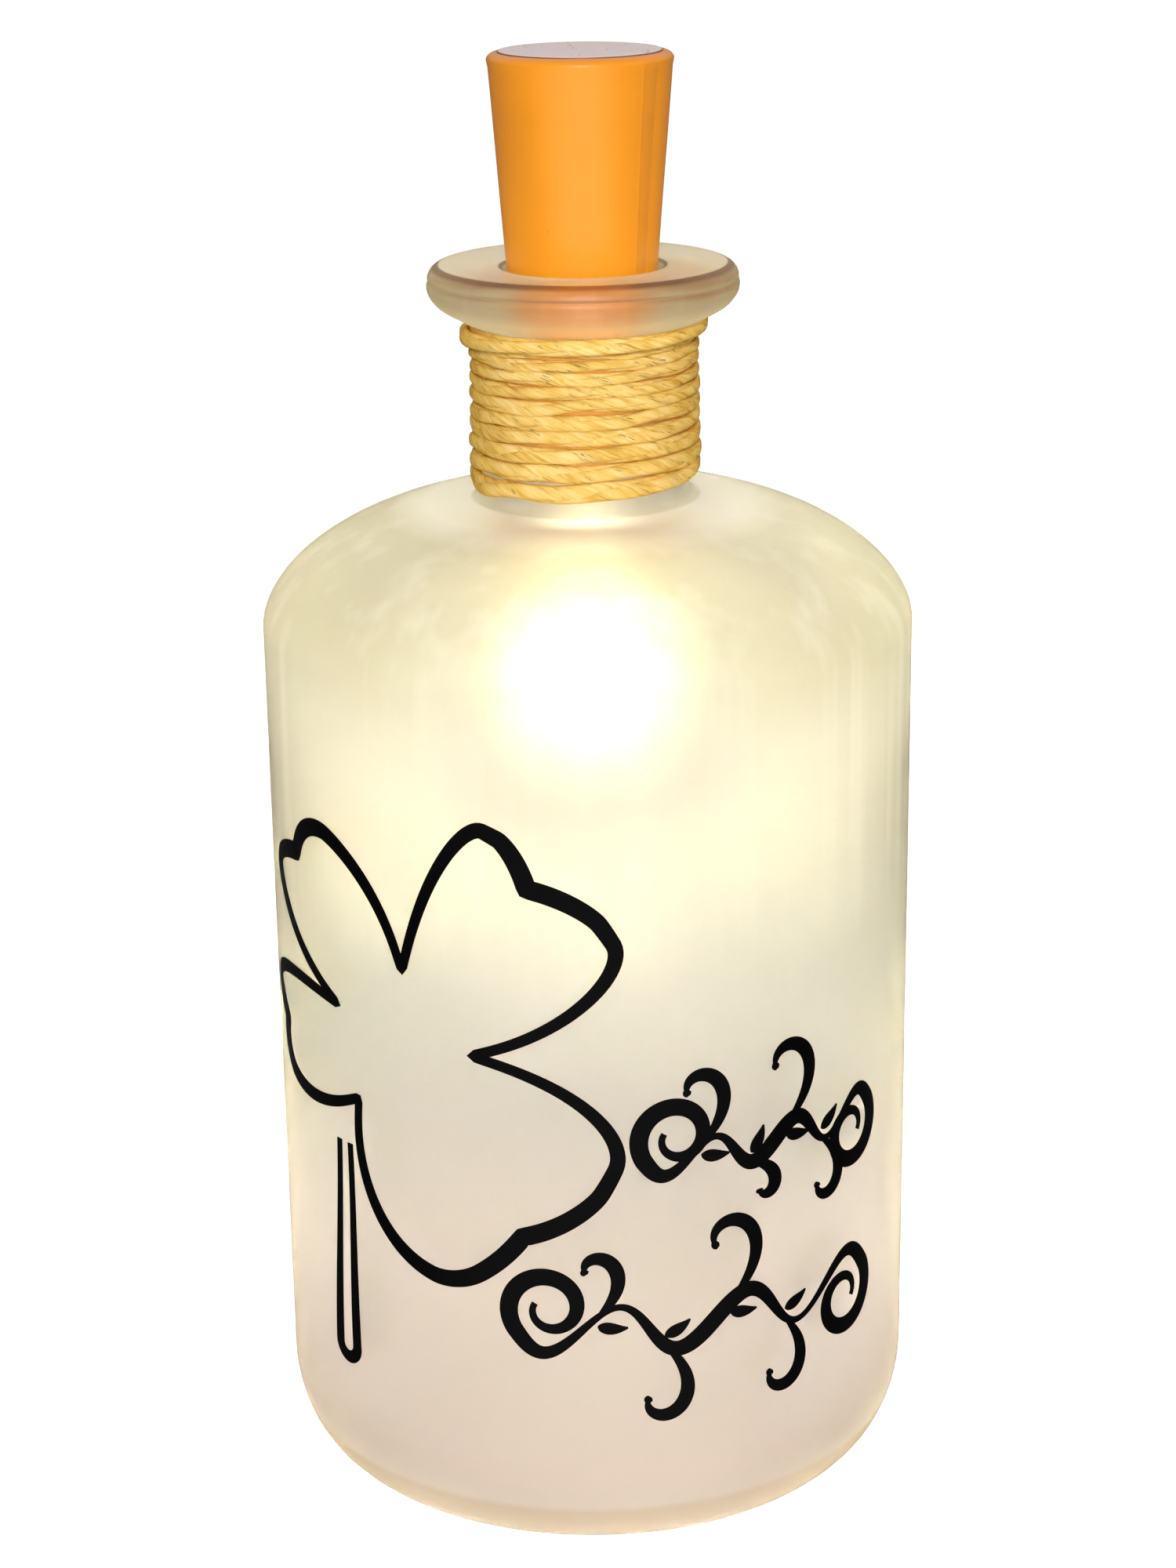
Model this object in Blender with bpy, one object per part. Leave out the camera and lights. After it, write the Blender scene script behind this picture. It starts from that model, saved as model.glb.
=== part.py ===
# Bottle lamp: a frosted glass bottle, twine round its neck, and a battery light built into its stopper.
# Lengths are metres, +Z is up, and the origin is the centre of the bottle's base.

import math

import bmesh
import bpy
import numpy as np
from mathutils import Matrix

# Fits shared by all pieces
FIT_GAP = 0.0003
CUT_OVERRUN = 0.0010
MERGE_DISTANCE = 0.000003
FULL_TURN = 2.0 * math.pi
MM_PER_METRE = 1000.0
ROUND_STEPS = 48
SMALL_STEPS = 24
PIN_STEPS = 20
HOLE_STEPS = 12

# Glass bottle
BODY_RADIUS = 0.0405
BODY_WALL = 0.0028
FLOOR_THICKNESS = 0.0042
FOOT_CORNER_WIDTH = 0.0080
FOOT_CORNER_HEIGHT = 0.0124
FOOT_RING_WIDTH = 0.0080
PUNT_DEPTH = 0.0020
SHOULDER_START = 0.1110
SHOULDER_RISE = 0.0155
SHOULDER_POWER = 1.8
SHOULDER_TURN = 72.0
INNER_SHOULDER_TURN = 78.0
PUNT_TURN = 60.0
NECK_WALL = 0.00335
NECK_FILLET = 0.0018
NECK_LENGTH = 0.0209
LIP_REACH = 0.0062
LIP_HEIGHT = 0.0079
LIP_BEAD_RADIUS = 0.0025
LIP_DISH = 0.0005
LIP_BEAD_TURNS = (105.0, -50.0)
MOUTH_EDGE = 0.0006
BORE_RADIUS = 0.00945

# Twine round the neck
TWINE_DIAMETER = 0.0012
TWINE_SPACING = 0.00045
LOOP_POINTS = 24

# Vinyl decals on the front of the glass
DECAL_THICKNESS = 0.0002
STROKE_WIDTH = 0.0021
THIN_WIDTH = 0.0009
CLOVER_HOLLOW_RADIUS = 0.0106
CLOVER_NOTCH_DEPTH = 0.0032
CLOVER_ARC_PLACE = -0.0253
CLOVER_HEIGHT_SHARE = 0.545
CLOVER_THIN_WIDTH = 0.0014
# For each leaf: degrees of the hollow before it and of its notch, its reach, and how far up each side rises
CLOVER_LEAVES = (
    (6.0, 52.0, 0.0320, 0.52, 0.52),
    (83.0, 133.0, 0.0310, 0.95, 0.60),
    (162.0, 188.0, 0.0285, 0.60, 1.00),
    (231.0, 307.0, 0.0305, 0.80, 0.52),
)
LEAF_STEPS = 28
LEAF_LOBE_SHARE = 0.64
LEAF_RISE_POWER = 0.66
LEAF_NOTCH_POWER = 1.3
STEM_TOP_SHIFT = -0.0030
STEM_TOP_SPACING = 0.0066
STEM_END_SHARE = 0.09
STEM_WIDTH = 0.0036
STEM_TOP_SHARE = 0.60
STEM_STROKE_WIDTH = 0.0015
STEM_LEAN = -0.0009
STEM_STEPS = 14
UPPER_SCROLL_PLACE = 0.0230
UPPER_SCROLL_HALF_LENGTH = 0.0172
UPPER_SCROLL_CURL_RADIUS = 0.0049
UPPER_SCROLL_HEIGHT_SHARE = 0.425
LOWER_SCROLL_PLACE = 0.0146
LOWER_SCROLL_HALF_LENGTH = 0.0248
LOWER_SCROLL_CURL_RADIUS = 0.0052
LOWER_SCROLL_HEIGHT_SHARE = 0.200
SCROLL_WAVE_SHARE = 0.125
SCROLL_WAVES = 3
SCROLL_SLANT = 0.18
SCROLL_SWELLS = 3
SCROLL_TIP_WIDTH = 0.0006
CURL_START_SHARE = 0.34
CURL_TURNS = 1.15
CURL_STEPS = 20
WAVE_STEPS = 32

# Stopper body
CORK_TAPER = 0.078
CORK_WALL = 0.00137
CORK_RIM_WIDTH = 0.0013
CORK_EDGE_ROUND = 0.0006
CORK_LEDGE_WIDTH = 0.0011
CORK_END_THICKNESS = 0.0013

# Light guide that hangs from the stopper's lower end
GUIDE_WALL = 0.0009
GUIDE_LENGTH = 0.0354
GUIDE_FLANGE_WIDTH = 0.0013
GUIDE_FLANGE_THICKNESS = 0.0012

# Push button
BUTTON_RECESS = 0.0004
BUTTON_THICKNESS = 0.0016
BUTTON_TRAVEL = 0.0012
BUTTON_BOSS_RADIUS = 0.0020
BUTTON_BOSS_LENGTH = 0.0010
PLUNGER_RADIUS = 0.0016
PLUNGER_LENGTH = 0.0016
SWITCH_SIDE = 0.0060
SWITCH_POCKET_SPARE = 0.0004

# Core frame that carries the electronics
FLANGE_THICKNESS = 0.0010
CUP_DEPTH = 0.0056
CUP_WALL = 0.0006
CUP_FLOOR = 0.0020
TRAY_WALL = 0.00075
TRAY_OPEN_ANGLE = math.radians(150.0)
TRAY_STEPS = 16
TRAY_END = 0.0010
TRAY_END_STEP = 0.00005
POST_WIDTH = 0.0044
POST_DEPTH = 0.0016
POST_LENGTH = 0.0080

# Electronics
BOARD_THICKNESS = 0.0008
CHIP_SIZE = (0.0030, 0.0020, 0.0010)
RESISTOR_SIZE = (0.0020, 0.0012, 0.0006)
CAPACITOR_SIZE = (0.0020, 0.0012, 0.0009)
SCREW_SHANK_RADIUS = 0.0005
SCREW_SHANK_LENGTH = 0.0022
SCREW_HEAD_RADIUS = 0.0010
SCREW_HEAD_HEIGHT = 0.0007
SCREW_SLOT_WIDTH = 0.0003
CELL_RADIUS = 0.0058
CELL_HEIGHT = 0.0054
CELL_SHOULDER = 0.0010
CELL_CAP_HEIGHT = 0.0009
CELL_EDGE = 0.0004
CELL_NAMES = ("upper_cell", "middle_cell", "lower_cell")
CONTACT_RADIUS = 0.0036
CONTACT_THICKNESS = 0.0004
SPRING_WIRE_DIAMETER = 0.0005
SPRING_RADIUS = 0.0032
SPRING_HEIGHT = 0.0028
SPRING_CURLS = 2
SPRING_LOOP_POINTS = 10
LED_RADIUS = 0.0025
LED_FOOT_RADIUS = 0.0029
LED_FOOT_HEIGHT = 0.0008
LED_LENGTH = 0.0046
LED_DIP = 0.0011
WIRE_DIAMETER = 0.0007
WIRE_HALF_ANGLE = math.radians(26.0)
WIRE_LANDING_RADIUS = 0.0030
WIRE_BEND_HEIGHT = 0.0040
WIRE_BEND_SHARES = ((0.0, 0.0), (0.25, 0.12), (0.60, 0.75), (1.0, 1.0))


# Sizes worked out from the values above
def shoulder_height_at(radius, outer, inner, start, rise):
    """Height of the rounded shoulder above a given radius."""
    share = max(radius - inner, 0.0) / (outer - inner)
    return start + rise * (1.0 - share**SHOULDER_POWER) ** (1.0 / SHOULDER_POWER)


neck_radius = BORE_RADIUS + NECK_WALL
lip_radius = neck_radius + LIP_REACH
shoulder_top = SHOULDER_START + SHOULDER_RISE
neck_top = shoulder_top + NECK_LENGTH
lip_top = neck_top + LIP_HEIGHT
mouth_height = lip_top - LIP_DISH - MOUTH_EDGE
inner_radius = BODY_RADIUS - BODY_WALL
wall_height = SHOULDER_START - FOOT_CORNER_HEIGHT
clover_height = FOOT_CORNER_HEIGHT + CLOVER_HEIGHT_SHARE * wall_height

# Levels in the stopper are counted down from its top
button_top = -BUTTON_RECESS
button_base = button_top - BUTTON_THICKNESS
flange_top = button_base - BUTTON_TRAVEL - FIT_GAP
flange_base = flange_top - FLANGE_THICKNESS
ledge_level = flange_base - FIT_GAP
cup_floor_top = flange_base - CUP_DEPTH
cup_floor_base = cup_floor_top - CUP_FLOOR
cup_hollow_base = cup_floor_base - FIT_GAP
board_base = cup_floor_top + FIT_GAP
board_top = board_base + BOARD_THICKNESS
parts_base = board_top + FIT_GAP
boss_end = button_base - BUTTON_BOSS_LENGTH
plunger_top = boss_end - FIT_GAP
plunger_base = plunger_top - PLUNGER_LENGTH
switch_top = boss_end - BUTTON_TRAVEL - FIT_GAP
switch_pocket_base = plunger_base - BUTTON_TRAVEL - SWITCH_POCKET_SPARE
contact_top = cup_floor_base - FIT_GAP
stack_top = contact_top - CONTACT_THICKNESS - FIT_GAP
stack_base = stack_top - len(CELL_NAMES) * CELL_HEIGHT - (len(CELL_NAMES) - 1) * FIT_GAP
spring_top = stack_base - FIT_GAP
spring_base = spring_top - SPRING_HEIGHT
tray_floor_top = spring_base - FIT_GAP
tray_floor_base = tray_floor_top - TRAY_END
tray_hollow_base = tray_floor_base - WIRE_BEND_HEIGHT / 2.0
led_board_top = tray_floor_base - POST_LENGTH - FIT_GAP
led_board_base = led_board_top - BOARD_THICKNESS
led_top = led_board_base - FIT_GAP
led_tip = led_top - LED_LENGTH
guide_top = led_tip + LED_DIP
guide_flange_base = guide_top - GUIDE_FLANGE_THICKNESS
hollow_end = guide_flange_base - FIT_GAP
cork_base = hollow_end - CORK_END_THICKNESS
guide_tip = cork_base - GUIDE_LENGTH

# Radii in the stopper are counted out from the cells
tray_inner_radius = CELL_RADIUS + FIT_GAP
tray_radius = tray_inner_radius + TRAY_WALL
tray_hollow_radius = tray_radius + FIT_GAP
cork_top_radius = tray_hollow_radius + CORK_WALL - CORK_TAPER * tray_floor_base
cork_end_radius = cork_top_radius + CORK_TAPER * cork_base
led_hollow_radius = cork_end_radius - CORK_WALL
led_board_radius = led_hollow_radius - FIT_GAP
guide_radius = led_board_radius - GUIDE_FLANGE_WIDTH
well_radius = cork_top_radius - CORK_RIM_WIDTH
button_radius = well_radius - FIT_GAP
cup_hollow_radius = well_radius - CORK_LEDGE_WIDTH
cup_radius = cup_hollow_radius - FIT_GAP
cup_inner_radius = cup_radius - CUP_WALL
board_radius = cup_inner_radius - FIT_GAP
screw_place = (board_radius + SWITCH_SIDE / 2.0) / 2.0
wire_run_radius = CELL_RADIUS + FIT_GAP + WIRE_DIAMETER / 2.0

# Where the stopper sits in the bottle, and how far it and its core come out
stopper_height = mouth_height + (cork_top_radius - BORE_RADIUS + FIT_GAP) / CORK_TAPER
cork_lift = lip_top - (stopper_height + guide_tip) + 2.0 * BORE_RADIUS
core_lift = FIT_GAP - led_tip


# Finishes
def finish(name, colour, roughness, metallic=0.0, alpha=1.0, glow=0.0):
    made = bpy.data.materials.new(name)
    made.use_nodes = True
    shader = made.node_tree.nodes["Principled BSDF"]
    shader.inputs["Base Color"].default_value = (*colour, 1.0)
    shader.inputs["Roughness"].default_value = roughness
    shader.inputs["Metallic"].default_value = metallic
    shader.inputs["Alpha"].default_value = alpha
    shader.inputs["Emission Color"].default_value = (*colour, 1.0)
    shader.inputs["Emission Strength"].default_value = glow
    made.diffuse_color = (*colour, alpha)
    return made


def make_finishes():
    return {
        "frosted_glass": finish("frosted_glass", (0.88, 0.86, 0.80), 0.55, alpha=0.9),
        "jute": finish("jute", (0.74, 0.53, 0.22), 0.85),
        "black_vinyl": finish("black_vinyl", (0.010, 0.010, 0.011), 0.35),
        "orange_plastic": finish("orange_plastic", (0.83, 0.36, 0.07), 0.32),
        "pale_plastic": finish("pale_plastic", (0.80, 0.76, 0.80), 0.45),
        "white_plastic": finish("white_plastic", (0.82, 0.82, 0.80), 0.50),
        "milky_guide": finish("milky_guide", (1.00, 0.90, 0.62), 0.40, glow=2.0),
        "board_green": finish("board_green", (0.02, 0.22, 0.08), 0.40),
        "switch_black": finish("switch_black", (0.02, 0.02, 0.02), 0.50),
        "cell_steel": finish("cell_steel", (0.66, 0.66, 0.65), 0.25, metallic=1.0),
        "contact_brass": finish("contact_brass", (0.80, 0.58, 0.25), 0.30, metallic=1.0),
        "screw_steel": finish("screw_steel", (0.50, 0.50, 0.50), 0.30, metallic=1.0),
        "led_resin": finish("led_resin", (1.00, 0.86, 0.50), 0.20, glow=4.0),
        "ceramic_tan": finish("ceramic_tan", (0.55, 0.42, 0.26), 0.45),
        "wire_red": finish("wire_red", (0.60, 0.02, 0.02), 0.40),
        "wire_black": finish("wire_black", (0.02, 0.02, 0.02), 0.40),
    }


# Tools for making shapes
def clear_scene():
    for old in list(bpy.data.objects):
        bpy.data.objects.remove(old, do_unlink=True)


def add_piece(name, mesh, material, parent=None, smooth=True):
    if material:
        mesh.materials.append(material)
    if smooth:
        mesh.shade_smooth()
        mesh.set_sharp_from_angle(angle=math.radians(35.0))
    piece = bpy.data.objects.new(name, mesh)
    bpy.context.scene.collection.objects.link(piece)
    piece.parent = parent
    return piece


def add_axis(name, parent=None, height=0.0):
    axis = bpy.data.objects.new(name, None)
    bpy.context.scene.collection.objects.link(axis)
    axis.location.z = height
    axis.parent = parent
    return axis


def as_mesh(name, work):
    bmesh.ops.recalc_face_normals(work, faces=work.faces)
    mesh = bpy.data.meshes.new(name)
    work.to_mesh(mesh)
    work.free()
    return mesh


def turned_mesh(name, profile, steps=SMALL_STEPS):
    """Spins a profile of (radius, height) points about Z. Off the axis at both ends, it closes on itself."""
    work = bmesh.new()
    points = [work.verts.new((radius, 0.0, height)) for radius, height in profile]
    edges = [work.edges.new(pair) for pair in zip(points, points[1:])]
    if min(profile[0][0], profile[-1][0]) > 0.0:
        edges.append(work.edges.new((points[-1], points[0])))
    bmesh.ops.spin(
        work,
        geom=points + edges,
        cent=(0.0, 0.0, 0.0),
        axis=(0.0, 0.0, 1.0),
        angle=FULL_TURN,
        steps=steps,
    )
    bmesh.ops.remove_doubles(work, verts=work.verts, dist=MERGE_DISTANCE)
    return as_mesh(name, work)


def disc_mesh(name, radius, base, top, steps=SMALL_STEPS):
    return turned_mesh(name, [(0.0, top), (radius, top), (radius, base), (0.0, base)], steps)


def box_mesh(name, low, high):
    work = bmesh.new()
    bmesh.ops.create_cube(work, size=1.0)
    for vert in work.verts:
        for axis in range(3):
            vert.co[axis] = high[axis] if vert.co[axis] > 0.0 else low[axis]
    return as_mesh(name, work)


def seated_box(name, size, centre, base):
    """A box of the given size whose underside stands at height base."""
    low = (centre[0] - size[0] / 2.0, centre[1] - size[1] / 2.0, base)
    high = (centre[0] + size[0] / 2.0, centre[1] + size[1] / 2.0, base + size[2])
    return box_mesh(name, low, high)


def prism_mesh(name, outline, base, top):
    """An outline in X and Y, carried up from base to top."""
    work = bmesh.new()
    face = work.faces.new([work.verts.new((x, y, base)) for x, y in outline])
    raised = bmesh.ops.extrude_face_region(work, geom=[face])["geom"]
    for item in raised:
        if isinstance(item, bmesh.types.BMVert):
            item.co.z = top
    return as_mesh(name, work)


def moved_by(x, y):
    return Matrix.Translation((x, y, 0.0))


def combine(piece, other_mesh, operation, axis=None):
    """Joins a helper to a piece, or cuts it away, and keeps the helper out of the render."""
    helper = add_piece(piece.name + "_" + other_mesh.name, other_mesh, None, axis, smooth=False)
    helper.hide_render = True
    helper.display_type = "WIRE"
    change = piece.modifiers.new(other_mesh.name, "BOOLEAN")
    change.operation = operation
    change.object = helper


def arc(centre, radii, start, end, steps):
    """Points of (radius, height) on an ellipse, from one angle in degrees to another."""
    angles = np.radians(np.linspace(start, end, steps + 1))
    return [(centre[0] + radii[0] * math.cos(a), centre[1] + radii[1] * math.sin(a)) for a in angles]


def tube(name, points, diameter, material, parent, resolution):
    curve = bpy.data.curves.new(name, "CURVE")
    curve.dimensions = "3D"
    curve.bevel_depth = diameter / 2.0
    curve.bevel_resolution = resolution
    curve.use_fill_caps = True
    spline = curve.splines.new("POLY")
    spline.points.add(len(points) - 1)
    for target, point in zip(spline.points, points):
        target.co = (*point, 1.0)
    curve.materials.append(material)
    piece = bpy.data.objects.new(name, curve)
    bpy.context.scene.collection.objects.link(piece)
    piece.parent = parent
    return piece


def least_gap_to_itself(points, points_per_turn, diameter):
    """The least clearance between points at least half a turn apart along a winding."""
    centres = np.array(points)
    apart = np.abs(np.subtract.outer(np.arange(len(centres)), np.arange(len(centres))))
    distances = np.linalg.norm(centres[:, None, :] - centres[None, :, :], axis=2)
    return distances[apart > points_per_turn // 2].min() - diameter


def wound(radius, base, pitch, turns, points_per_turn, lead):
    """A helix whose two ends run straight for one lead, along their own tangents."""
    angles = np.arange(turns * points_per_turn + 1) * FULL_TURN / points_per_turn
    helix = [
        (radius * math.cos(a), radius * math.sin(a), base + pitch * a / FULL_TURN) for a in angles
    ]
    first, last = angles[0], angles[-1]
    start = (
        helix[0][0] + lead * math.sin(first), helix[0][1] - lead * math.cos(first), helix[0][2]
    )
    end = (
        helix[-1][0] - lead * math.sin(last), helix[-1][1] + lead * math.cos(last), helix[-1][2]
    )
    return [start, *helix, end]


# The glass bottle
def shoulder_arc(inner, outer, rise, first, last, count):
    """Points of (radius, height) along a rounded shoulder, from one angle in degrees to another."""
    power = 2.0 / SHOULDER_POWER
    return [
        (inner + (outer - inner) * math.cos(turn) ** power, SHOULDER_START + rise * math.sin(turn) ** power)
        for turn in np.radians(np.linspace(first, last, count))
    ]


def bottle_profile():
    bead_centre = (lip_radius - LIP_BEAD_RADIUS, lip_top - LIP_BEAD_RADIUS)
    foot_inner = BODY_RADIUS - FOOT_CORNER_WIDTH - FOOT_RING_WIDTH
    floor_top = PUNT_DEPTH + FLOOR_THICKNESS
    inner_shoulder_rise = SHOULDER_RISE - BODY_WALL
    neck_foot = shoulder_height_at(
        neck_radius + NECK_FILLET, BODY_RADIUS, neck_radius, SHOULDER_START, SHOULDER_RISE
    )
    inside = [(0.0, floor_top)]
    inside += arc(
        (inner_radius - FOOT_CORNER_WIDTH, floor_top + FOOT_CORNER_WIDTH),
        (FOOT_CORNER_WIDTH, FOOT_CORNER_WIDTH), -90.0, 0.0, 4,
    )
    inside += shoulder_arc(BORE_RADIUS, inner_radius, inner_shoulder_rise, 0.0, INNER_SHOULDER_TURN, 7)
    inside.append((BORE_RADIUS, SHOULDER_START + inner_shoulder_rise + NECK_FILLET))
    mouth = arc((BORE_RADIUS + MOUTH_EDGE, mouth_height), (MOUTH_EDGE, MOUTH_EDGE), 180.0, 90.0, 3)
    bead = arc(bead_centre, (LIP_BEAD_RADIUS, LIP_BEAD_RADIUS), *LIP_BEAD_TURNS, 6)
    neck = [(neck_radius + MOUTH_EDGE, neck_top), (neck_radius, neck_top - MOUTH_EDGE)]
    neck += arc(
        (neck_radius + NECK_FILLET, neck_foot + NECK_FILLET), (NECK_FILLET, NECK_FILLET), 180.0, 270.0, 4
    )
    shoulder = shoulder_arc(neck_radius, BODY_RADIUS, SHOULDER_RISE, SHOULDER_TURN, 0.0, 10)
    foot_centre = (BODY_RADIUS - FOOT_CORNER_WIDTH, FOOT_CORNER_HEIGHT)
    foot = arc(foot_centre, (FOOT_CORNER_WIDTH, FOOT_CORNER_HEIGHT), 0.0, -90.0, 6)
    punt = [
        (foot_inner * math.cos(turn), PUNT_DEPTH * math.sin(turn))
        for turn in np.radians(np.linspace(0.0, PUNT_TURN, 3))
    ]
    return inside + mouth + bead + neck + shoulder + foot + punt + [(0.0, PUNT_DEPTH)]


def make_bottle(finishes, parent):
    mesh = turned_mesh("frosted_bottle", bottle_profile(), ROUND_STEPS)
    add_piece("frosted_bottle", mesh, finishes["frosted_glass"], parent)


def make_twine(finishes, parent):
    pitch = TWINE_DIAMETER + TWINE_SPACING
    low = shoulder_top + NECK_FILLET + FIT_GAP
    high = neck_top - MOUTH_EDGE - FIT_GAP
    turns = int((high - low - TWINE_DIAMETER) / pitch)
    base = (low + high - turns * pitch) / 2.0
    sag = neck_radius * chord_sag_share(LOOP_POINTS)
    centre_radius = neck_radius + FIT_GAP + TWINE_DIAMETER / 2.0 + sag
    points = wound(centre_radius, base, pitch, turns, LOOP_POINTS, TWINE_DIAMETER)
    gap = least_gap_to_itself(points, LOOP_POINTS, TWINE_DIAMETER)
    print("twine: turns", turns, "least gap to itself in mm", gap * MM_PER_METRE)
    tube("neck_twine", points, TWINE_DIAMETER, finishes["jute"], parent, 1)


def chord_sag_share(points_per_turn):
    """How far a chord of a circle lies inside it, as a share of the radius."""
    return 1.0 - math.cos(math.pi / points_per_turn)


# Decals: strokes drawn on the unrolled wall, then wrapped round it
def wrap(arc_place, height, radius):
    turn = arc_place / BODY_RADIUS
    return (radius * math.sin(turn), -radius * math.cos(turn), height)


def stroke_mesh(name, path, half_widths, closed):
    """A flat stroke of changing width along a path of (arc, height) points, wrapped on the glass."""
    centres = np.array(path)
    if closed:
        run = np.roll(centres, -1, axis=0) - np.roll(centres, 1, axis=0)
    else:
        run = np.gradient(centres, axis=0)
    run /= np.linalg.norm(run, axis=1)[:, None]
    side = np.column_stack((-run[:, 1], run[:, 0])) * np.array(half_widths)[:, None]
    back = BODY_RADIUS + FIT_GAP
    front = back + DECAL_THICKNESS
    work = bmesh.new()
    rings = []
    for left, right in zip(centres + side, centres - side):
        corners = [(left, back), (right, back), (right, front), (left, front)]
        rings.append([work.verts.new(wrap(*place, radius)) for place, radius in corners])
    pairs = list(zip(rings, rings[1:])) + ([(rings[-1], rings[0])] if closed else [])
    for here, there in pairs:
        for corner in range(4):
            following = (corner + 1) % 4
            work.faces.new((here[corner], here[following], there[following], there[corner]))
    if not closed:
        work.faces.new(rings[0][::-1])
        work.faces.new(rings[-1])
    return as_mesh(name, work)


def wall_place(share):
    return FOOT_CORNER_HEIGHT + share * wall_height


def clover_reach(leaf_reach, from_hollow, rising_share):
    """How far the outline is from the clover's middle, at a share of the way from a hollow to a notch."""
    rise = min(1.0, from_hollow / rising_share)
    swell = (rise * rise * (3.0 - 2.0 * rise)) ** LEAF_RISE_POWER
    notch = max(0.0, (from_hollow - LEAF_LOBE_SHARE) / (1.0 - LEAF_LOBE_SHARE)) ** LEAF_NOTCH_POWER
    return CLOVER_HOLLOW_RADIUS + (leaf_reach - CLOVER_HOLLOW_RADIUS) * swell - CLOVER_NOTCH_DEPTH * notch


def clover_place(reach, degrees):
    angle = math.radians(degrees)
    return (CLOVER_ARC_PLACE + reach * math.cos(angle), clover_height + reach * math.sin(angle))


def clover_path():
    """The outline of four notched leaves round one centre, with a hollow between each two."""
    path = []
    next_hollows = [leaf[0] for leaf in CLOVER_LEAVES[1:] + CLOVER_LEAVES[:1]]
    for leaf, next_hollow in zip(CLOVER_LEAVES, next_hollows):
        hollow, notch, leaf_reach, first_share, second_share = leaf
        for step in range(LEAF_STEPS):
            share = 2.0 * step / LEAF_STEPS
            if share < 1.0:
                degrees = hollow + (notch - hollow) * share
                reach = clover_reach(leaf_reach, share, first_share)
            else:
                degrees = notch + ((next_hollow - notch) % 360.0) * (share - 1.0)
                reach = clover_reach(leaf_reach, 2.0 - share, second_share)
            path.append(clover_place(reach, degrees))
    return path


def swelling_widths(count, swells, thin, thick):
    shares = 0.5 - 0.5 * np.cos(np.arange(count) * FULL_TURN * swells / count)
    return (thin + (thick - thin) * shares) / 2.0


def stem_path():
    """A narrow hairpin that hangs below the clover's lowest hollow and turns back in a rounded foot."""
    hollow_arc_place, hollow_height = clover_place(CLOVER_HOLLOW_RADIUS, CLOVER_LEAVES[-1][0])
    start = hollow_arc_place + STEM_TOP_SHIFT
    top = hollow_height - STEM_TOP_SPACING
    foot = wall_place(STEM_END_SHARE) + STEM_WIDTH / 2.0
    left, right = [], []
    for down in np.linspace(0.0, 1.0, STEM_STEPS + 1)[:-1]:
        middle = start + STEM_LEAN * down * down * (3.0 - 2.0 * down)
        half = STEM_WIDTH / 2.0 * (STEM_TOP_SHARE + (1.0 - STEM_TOP_SHARE) * down)
        height = top - (top - foot) * down
        left.append((middle - half, height))
        right.append((middle + half, height))
    bend = (STEM_WIDTH / 2.0, STEM_WIDTH / 2.0)
    return left + arc((start + STEM_LEAN, foot), bend, 180.0, 360.0, 8) + right[::-1]


def scroll_path(half_length, curl_radius, place, height_share):
    """A slanted wave that runs into a curl at each end, the second curl turned half round from the first."""
    wave_height = half_length * SCROLL_WAVE_SHARE
    fall = wave_height * math.pi * SCROLL_WAVES
    leave = math.atan2(SCROLL_SLANT * fall - half_length, -fall)
    shares = np.linspace(CURL_START_SHARE, 1.0, CURL_STEPS)
    turns = np.linspace(leave - CURL_TURNS * FULL_TURN, leave, CURL_STEPS)
    start = (-half_length, 0.0)
    centre = (start[0] - curl_radius * math.cos(leave), start[1] - curl_radius * math.sin(leave))
    half = []
    for share, turn in zip(shares, turns):
        reach = curl_radius * share
        half.append((centre[0] + reach * math.cos(turn), centre[1] + reach * math.sin(turn)))
    for share in np.linspace(-1.0, 0.0, WAVE_STEPS)[1:-1]:
        wave = wave_height * math.sin(share * math.pi * SCROLL_WAVES)
        half.append((share * half_length + SCROLL_SLANT * wave, wave))
    whole = half + [(-x, -z) for x, z in reversed(half)]
    height = wall_place(height_share)
    return [(place + x, height + z) for x, z in whole]


def add_decal(name, path, widths, closed, finishes, parent):
    mesh = stroke_mesh(name, path, widths, closed)
    add_piece(name, mesh, finishes["black_vinyl"], parent, smooth=False)


def make_decals(finishes, parent):
    path = clover_path()
    widths = swelling_widths(len(path), len(CLOVER_LEAVES), CLOVER_THIN_WIDTH, STROKE_WIDTH)
    add_decal("clover_decal", path, widths, True, finishes, parent)
    path = stem_path()
    widths = swelling_widths(len(path), 1, THIN_WIDTH, STEM_STROKE_WIDTH)
    add_decal("clover_stem_decal", path, widths, False, finishes, parent)
    path = scroll_path(
        UPPER_SCROLL_HALF_LENGTH, UPPER_SCROLL_CURL_RADIUS, UPPER_SCROLL_PLACE, UPPER_SCROLL_HEIGHT_SHARE
    )
    widths = swelling_widths(len(path), SCROLL_SWELLS, SCROLL_TIP_WIDTH, STROKE_WIDTH)
    add_decal("upper_scroll_decal", path, widths, False, finishes, parent)
    path = scroll_path(
        LOWER_SCROLL_HALF_LENGTH, LOWER_SCROLL_CURL_RADIUS, LOWER_SCROLL_PLACE, LOWER_SCROLL_HEIGHT_SHARE
    )
    add_decal("lower_scroll_decal", path, widths, False, finishes, parent)


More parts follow.
